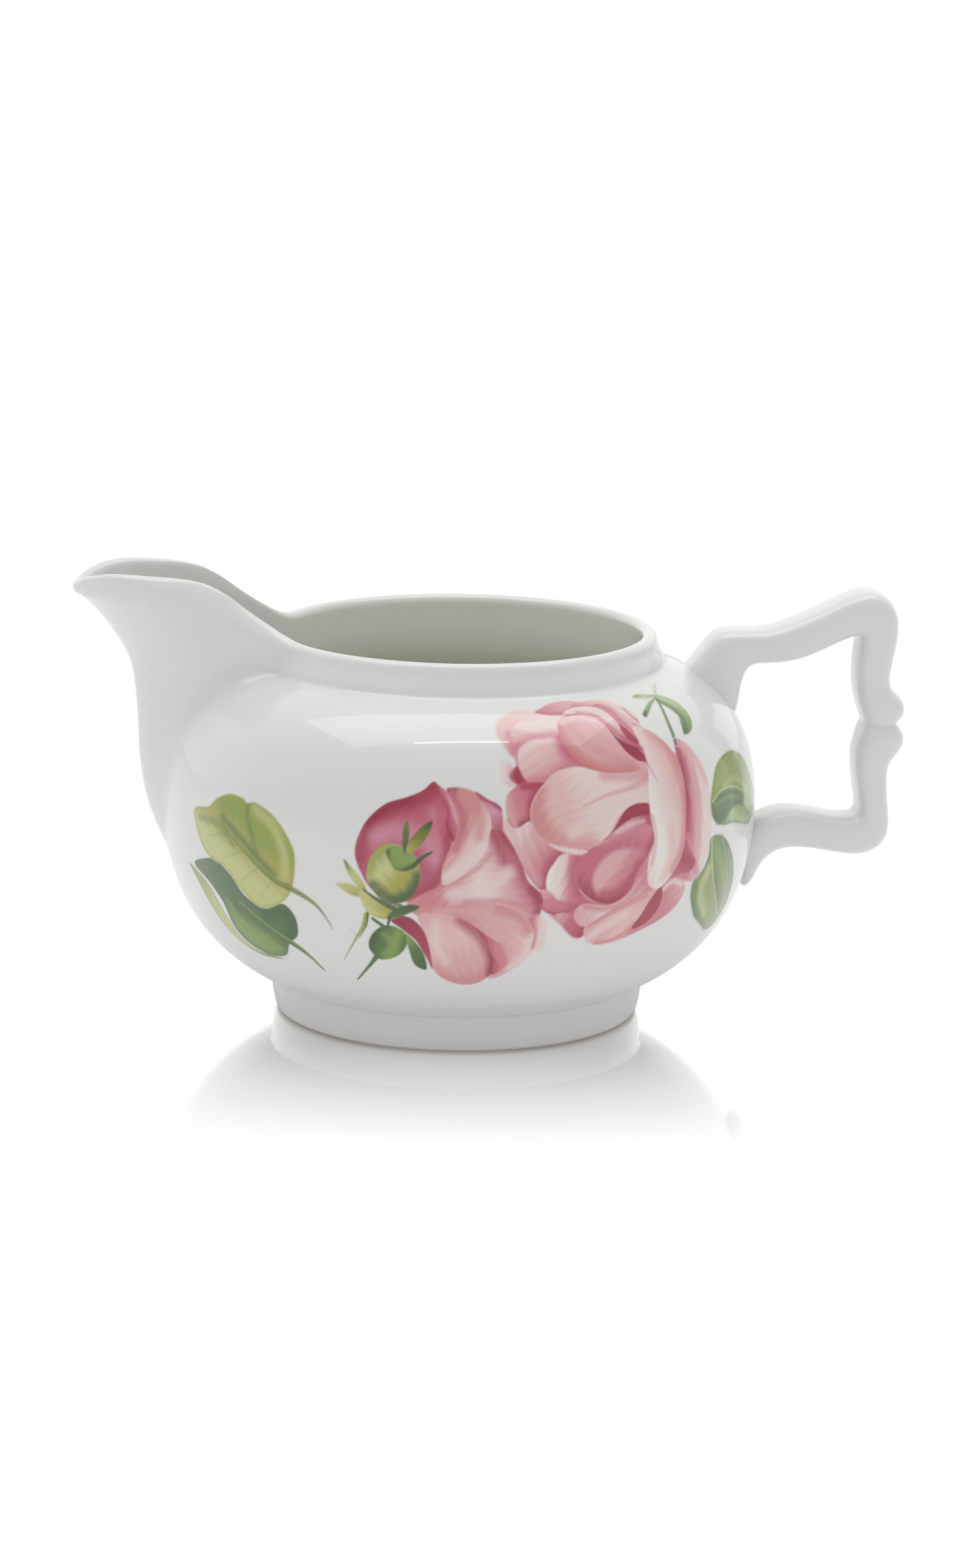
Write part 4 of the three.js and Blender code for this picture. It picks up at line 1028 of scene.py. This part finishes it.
def reverse_side(obj):
    """The same painting mirrored on the far side of the jug."""
    only(obj)
    bpy.ops.object.duplicate()
    copy = bpy.context.object
    copy.name = copy.data.name = obj.name + "_reverse"
    set_points(copy, points_of(copy) * [1, -1, 1])
    bpy.ops.object.mode_set(mode="EDIT")
    bpy.ops.mesh.select_all(action="SELECT")
    bpy.ops.mesh.flip_normals()
    bpy.ops.object.mode_set(mode="OBJECT")
    return copy


# ---- Finishes -----------------------------------------------------------------------------------------


def porcelain_glaze(name, body, painted=False):
    """White clay under a clear glossy glaze, faintly wavy and mottled, with what its colour attribute
    holds laid over it: the fired enamel, the bare clay of the foot and the painted warm shade inside the
    bowl.
    """
    material = bpy.data.materials.new(name)
    material.use_nodes = True
    nodes, links = material.node_tree.nodes, material.node_tree.links
    shader = nodes["Principled BSDF"]
    place = nodes.new("ShaderNodeTexCoord")
    mottle = nodes.new("ShaderNodeTexNoise")
    mottle.inputs["Scale"].default_value = 160
    mottle.inputs["Detail"].default_value = 4
    ramp = nodes.new("ShaderNodeValToRGB")
    ramp.color_ramp.elements[0].color = (*(0.975 * np.array(body)), 1)
    ramp.color_ramp.elements[1].color = (*body, 1)
    wave = nodes.new("ShaderNodeTexNoise")
    wave.inputs["Scale"].default_value = 55
    wave.inputs["Detail"].default_value = 1.5
    bump = nodes.new("ShaderNodeBump")
    bump.inputs["Strength"].default_value = 0.12
    bump.inputs["Distance"].default_value = 0.0006
    links.new(place.outputs["Object"], mottle.inputs["Vector"])
    links.new(place.outputs["Object"], wave.inputs["Vector"])
    links.new(mottle.outputs["Fac"], ramp.inputs["Fac"])
    base = ramp.outputs["Color"]
    if painted:
        # The "enamel" attribute holds the fired enamel on the painted pieces, the bare clay on the foot
        # and the painted warm shade inside the body
        enamel = nodes.new("ShaderNodeVertexColor")
        enamel.layer_name = "enamel"
        over = nodes.new("ShaderNodeMixRGB")
        links.new(enamel.outputs["Alpha"], over.inputs["Fac"])
        links.new(base, over.inputs["Color1"])
        links.new(enamel.outputs["Color"], over.inputs["Color2"])
        base = over.outputs["Color"]
    links.new(base, shader.inputs["Base Color"])
    links.new(wave.outputs["Fac"], bump.inputs["Height"])
    links.new(bump.outputs["Normal"], shader.inputs["Normal"])
    links.new(bump.outputs["Normal"], shader.inputs["Coat Normal"])
    shader.inputs["Roughness"].default_value = 0.3
    shader.inputs["Coat Weight"].default_value = 1.0
    shader.inputs["Coat Roughness"].default_value = 0.04
    shader.inputs["Subsurface Weight"].default_value = 0.0
    return material


# ---- Stage --------------------------------------------------------------------------------------------

CAMERA_TURN, CAMERA_TILT, CAMERA_ROLL = math.radians(-7), math.radians(12.69), math.radians(0.92)
CAMERA_AIM, CAMERA_DISTANCE = (AXIS_X + 4.48, -0.55, 34.62), 700  # mm
FILM_HEIGHT, LENS = 36, 105.65  # mm
BACKDROP = 1.03  # brightness of the white behind the jug
MIRROR_SHARE = 0.93  # of the sheet where the jug stands
MIRROR_DEPTH = (0.024, 0.079)  # metres in front of and behind the axis, between which the mirror fades
MIRROR_ROUND = (0.06, 0.1)  # the same all round the axis
# Brightness of the surroundings as light and as a reflection: two directions, from the front (-1) to the
# back (1), and the brightness at each.
SOFT_LIGHT = (-0.6, 0.6, 0.605, 0.745)
MIRRORED_LIGHT = (-0.2, 0.8, 0.58, BACKDROP)
SEEN_WHITE = 1.05  # brightness of what shows past the edge of the sheet
# Place and aim of each lamp and the width and height of its face, in metres, and its power in watts.
LAMPS = {
    "overhead": ((0.0, 0.12, 1.0), (0, 0.12, 0), 1.2, 0.62, 2.9),
    "strip": ((-0.02, -0.19, 0.99), (-0.02, -0.02, 0.05), 0.42, 0.02, 0.3),
}


def build_camera():
    """A long lens at arm's length, a little above the jug and turned towards its spout."""
    facing = Euler((math.pi / 2 - CAMERA_TILT, 0, CAMERA_TURN)).to_matrix()
    data = bpy.data.cameras.new("camera")
    data.sensor_fit, data.sensor_height, data.lens = "VERTICAL", FILM_HEIGHT, LENS
    data.clip_start, data.clip_end = 0.01, 20
    camera = bpy.data.objects.new("camera", data)
    place = (Vector(CAMERA_AIM) + facing.col[2] * CAMERA_DISTANCE) * MM
    rolled = facing @ Matrix.Rotation(CAMERA_ROLL, 3, "Z")
    camera.matrix_world = Matrix.Translation(place) @ rolled.to_4x4()
    bpy.context.scene.collection.objects.link(camera)
    bpy.context.scene.camera = camera


def area_light(name, place, aim, width, height, power):
    """A soft rectangular lamp turned to what it is aimed at."""
    data = bpy.data.lights.new(name, "AREA")
    data.shape, data.size, data.size_y, data.energy = "RECTANGLE", width, height, power
    light = bpy.data.objects.new(name, data)
    light.location = place
    light.rotation_euler = (Vector(aim) - Vector(place)).to_track_quat("-Z", "Y").to_euler()
    bpy.context.scene.collection.objects.link(light)


def map_range(nodes, links, source, low, high, to_low, to_high, kind="SMOOTHSTEP"):
    """Adds a node that eases from one value to another as its source goes from low to high."""
    node = nodes.new("ShaderNodeMapRange")
    node.interpolation_type = kind
    for name, value in zip(("From Min", "From Max", "To Min", "To Max"), (low, high, to_low, to_high)):
        node.inputs[name].default_value = value
    links.new(source, node.inputs["Value"])
    return node.outputs["Result"]


def white_acrylic():
    """A glossy white sheet that mirrors the jug close to its foot and fades into the backdrop."""
    material = bpy.data.materials.new("white_acrylic")
    material.use_nodes = True
    nodes, links = material.node_tree.nodes, material.node_tree.links
    nodes.clear()
    place = nodes.new("ShaderNodeTexCoord")
    distance, forward = nodes.new("ShaderNodeVectorMath"), nodes.new("ShaderNodeVectorMath")
    distance.operation, forward.operation = "DISTANCE", "DOT_PRODUCT"
    distance.inputs[1].default_value = (AXIS_X * MM, 0, 0)
    forward.inputs[1].default_value = (math.sin(CAMERA_TURN), -math.cos(CAMERA_TURN), 0)
    links.new(place.outputs["Object"], distance.inputs[0])
    links.new(place.outputs["Object"], forward.inputs[0])
    either, fade = nodes.new("ShaderNodeMath"), nodes.new("ShaderNodeMath")
    either.operation, fade.operation = "ABSOLUTE", "MULTIPLY"
    links.new(forward.outputs["Value"], either.inputs[0])
    round_about = map_range(nodes, links, distance.outputs["Value"], *MIRROR_ROUND, 1.0, 0.0)
    in_depth = map_range(nodes, links, either.outputs[0], *MIRROR_DEPTH, MIRROR_SHARE, 0.0, "LINEAR")
    links.new(round_about, fade.inputs[0])
    links.new(in_depth, fade.inputs[1])
    glow = nodes.new("ShaderNodeEmission")
    glow.inputs["Strength"].default_value = BACKDROP
    gloss = nodes.new("ShaderNodeBsdfGlossy")
    gloss.inputs["Color"].default_value = (0.98, 0.98, 0.98, 1)
    gloss.inputs["Roughness"].default_value = 0.05
    seen = nodes.new("ShaderNodeMixShader")
    bounce = nodes.new("ShaderNodeBsdfDiffuse")
    bounce.inputs["Color"].default_value = (0.9, 0.9, 0.9, 1)
    fill = nodes.new("ShaderNodeEmission")
    fill.inputs["Strength"].default_value = 0.1
    unseen = nodes.new("ShaderNodeAddShader")
    path = nodes.new("ShaderNodeLightPath")
    both = nodes.new("ShaderNodeMixShader")
    out = nodes.new("ShaderNodeOutputMaterial")
    links.new(bounce.outputs[0], unseen.inputs[0])
    links.new(fill.outputs[0], unseen.inputs[1])
    links.new(fade.outputs[0], seen.inputs["Fac"])
    links.new(glow.outputs[0], seen.inputs[1])
    links.new(gloss.outputs[0], seen.inputs[2])
    links.new(path.outputs["Is Camera Ray"], both.inputs["Fac"])
    links.new(unseen.outputs[0], both.inputs[1])
    links.new(seen.outputs[0], both.inputs[2])
    links.new(both.outputs[0], out.inputs["Surface"])
    return material


def studio_world():
    """Even soft light all round, with a white backdrop in what the glaze and the sheet mirror."""
    world = bpy.data.worlds.new("studio")
    bpy.context.scene.world = world
    world.use_nodes = True
    nodes, links = world.node_tree.nodes, world.node_tree.links
    background = nodes["Background"]
    background.inputs["Color"].default_value = (1, 1, 1, 1)
    place = nodes.new("ShaderNodeTexCoord")
    split = nodes.new("ShaderNodeSeparateXYZ")
    path = nodes.new("ShaderNodeLightPath")
    mirrored, tone = nodes.new("ShaderNodeMix"), nodes.new("ShaderNodeMix")
    links.new(place.outputs["Generated"], split.inputs[0])
    links.new(path.outputs["Is Glossy Ray"], mirrored.inputs[0])
    links.new(map_range(nodes, links, split.outputs["Y"], *SOFT_LIGHT), mirrored.inputs[2])
    links.new(map_range(nodes, links, split.outputs["Y"], *MIRRORED_LIGHT), mirrored.inputs[3])
    links.new(path.outputs["Is Camera Ray"], tone.inputs[0])
    links.new(mirrored.outputs[0], tone.inputs[2])
    tone.inputs[3].default_value = SEEN_WHITE
    links.new(tone.outputs[0], background.inputs["Strength"])


def build_stage():
    """The sheet the jug stands on, the surroundings and the lamps."""
    deselect()
    bpy.ops.mesh.primitive_plane_add(size=8, location=(0, 0, 0))
    floor = bpy.context.object
    floor.name = "floor"
    floor.data.materials.append(white_acrylic())
    studio_world()
    scene = bpy.context.scene
    scene.view_settings.view_transform = "Standard"
    scene.view_settings.look = "None"
    for name, lamp in LAMPS.items():
        area_light(name, *lamp)


# ---- Operators ----------------------------------------------------------------------------------------


class JUG_OT_stage(bpy.types.Operator):
    """Sets the pale floor, the soft lights and the camera"""

    bl_idname = "jug.stage"
    bl_label = "Set the Stage"

    def execute(self, context):
        build_camera()
        build_stage()
        return {"FINISHED"}


class JUG_OT_body(bpy.types.Operator):
    """Spins the bowl and pulls its spout"""

    bl_idname = "jug.body"
    bl_label = "Glazed Body"

    def execute(self, context):
        scene = context.scene
        colours = scene.jug_colours
        glaze = porcelain_glaze("white_glaze", colours.porcelain, painted=True)
        # The body carries the painted warm shade of its inside as well as its glaze
        finish_piece(build_body(scene.jug_sizes, colours.painted_inside_shade), glaze, ["bowl", "spout"])
        return {"FINISHED"}


class JUG_OT_foot(bpy.types.Operator):
    """Spins the foot ring"""

    bl_idname = "jug.foot"
    bl_label = "Foot Ring"

    def execute(self, context):
        scene = context.scene
        colours = scene.jug_colours
        glaze = porcelain_glaze("foot_glaze", colours.porcelain, painted=True)
        finish_piece(build_foot(scene.jug_sizes, colours.bisque), glaze, ["foot_ring"])
        return {"FINISHED"}


class JUG_OT_handle(bpy.types.Operator):
    """Draws the double-scroll handle"""

    bl_idname = "jug.handle"
    bl_label = "Scrolled Handle"

    def execute(self, context):
        scene = context.scene
        glaze = porcelain_glaze("handle_glaze", scene.jug_colours.porcelain)
        finish_piece(build_handle(scene.jug_sizes), glaze, ["handle"])
        return {"FINISHED"}


def paint_motif(scene, name, paint, low, high):
    """One motif on the front and its mirror on the far side."""
    glaze = bpy.data.materials.get("painted_enamel") or porcelain_glaze(
        "painted_enamel", scene.jug_colours.porcelain, painted=True
    )
    palette = enamel_palette(scene.enamel_colours)
    front = build_enamel(scene.jug_sizes, palette, name, paint, low, high)
    for piece in (front, reverse_side(front)):
        finish_piece(piece, glaze)
        sharpen_rim(piece)


class JUG_OT_rose(bpy.types.Operator):
    """Paints the full-blown rose on both sides"""

    bl_idname = "jug.rose"
    bl_label = "Painted Rose"

    def execute(self, context):
        paint_motif(context.scene, "painted_rose", paint_roses, (FLOWERS_MEET, -20), (41, 28))
        return {"FINISHED"}


class JUG_OT_bud(bpy.types.Operator):
    """Paints the half-open rose and its green hips on both sides"""

    bl_idname = "jug.bud"
    bl_label = "Painted Bud"

    def execute(self, context):
        paint_motif(context.scene, "painted_bud", paint_roses, (-25, -23), (FLOWERS_MEET, 28))
        return {"FINISHED"}


class JUG_OT_left_leaves(bpy.types.Operator):
    """Paints the two leaves beside the spout on both sides"""

    bl_idname = "jug.left_leaves"
    bl_label = "Leaves by the Spout"

    def execute(self, context):
        paint_motif(context.scene, "painted_leaves_spout", paint_left_leaves, (-57, -22), (-23, 8))
        return {"FINISHED"}


class JUG_OT_right_leaves(bpy.types.Operator):
    """Paints the leaves and sprig beside the handle on both sides"""

    bl_idname = "jug.right_leaves"
    bl_label = "Leaves by the Handle"

    def execute(self, context):
        paint_motif(context.scene, "painted_leaves_handle", paint_right_leaves, (30, -18), (60, 28))
        return {"FINISHED"}


class JUG_PT_panel(bpy.types.Panel):
    """Lists the jug's pieces, sizes and colours"""

    bl_label = "Cream Jug"
    bl_idname = "JUG_PT_panel"
    bl_space_type = "VIEW_3D"
    bl_region_type = "UI"
    bl_category = "Cream Jug"

    def draw(self, context):
        layout = self.layout
        for operator in OPERATORS:
            layout.operator(operator.bl_idname)
        for group in (context.scene.jug_sizes, context.scene.jug_colours, context.scene.enamel_colours):
            box = layout.box()
            for name in group.__annotations__:
                box.prop(group, name)


OPERATORS = (
    JUG_OT_stage, JUG_OT_body, JUG_OT_foot, JUG_OT_handle,
    JUG_OT_rose, JUG_OT_bud, JUG_OT_left_leaves, JUG_OT_right_leaves,
)
CLASSES = (JugSizes, JugColours, EnamelColours, *OPERATORS, JUG_PT_panel)


def register():
    """Adds the operators, the panel and the scene's settings."""
    for item in CLASSES:
        bpy.utils.register_class(item)
    bpy.types.Scene.jug_sizes = bpy.props.PointerProperty(type=JugSizes)
    bpy.types.Scene.jug_colours = bpy.props.PointerProperty(type=JugColours)
    bpy.types.Scene.enamel_colours = bpy.props.PointerProperty(type=EnamelColours)


def unregister():
    """Takes them away again."""
    del bpy.types.Scene.enamel_colours
    del bpy.types.Scene.jug_colours
    del bpy.types.Scene.jug_sizes
    for item in reversed(CLASSES):
        bpy.utils.unregister_class(item)


def main():
    """Builds the whole jug on its stage."""
    register()
    bpy.ops.jug.stage()
    bpy.ops.jug.body()
    bpy.ops.jug.foot()
    bpy.ops.jug.handle()
    bpy.ops.jug.rose()
    bpy.ops.jug.bud()
    bpy.ops.jug.left_leaves()
    bpy.ops.jug.right_leaves()


if __name__ == "__main__":
    main()
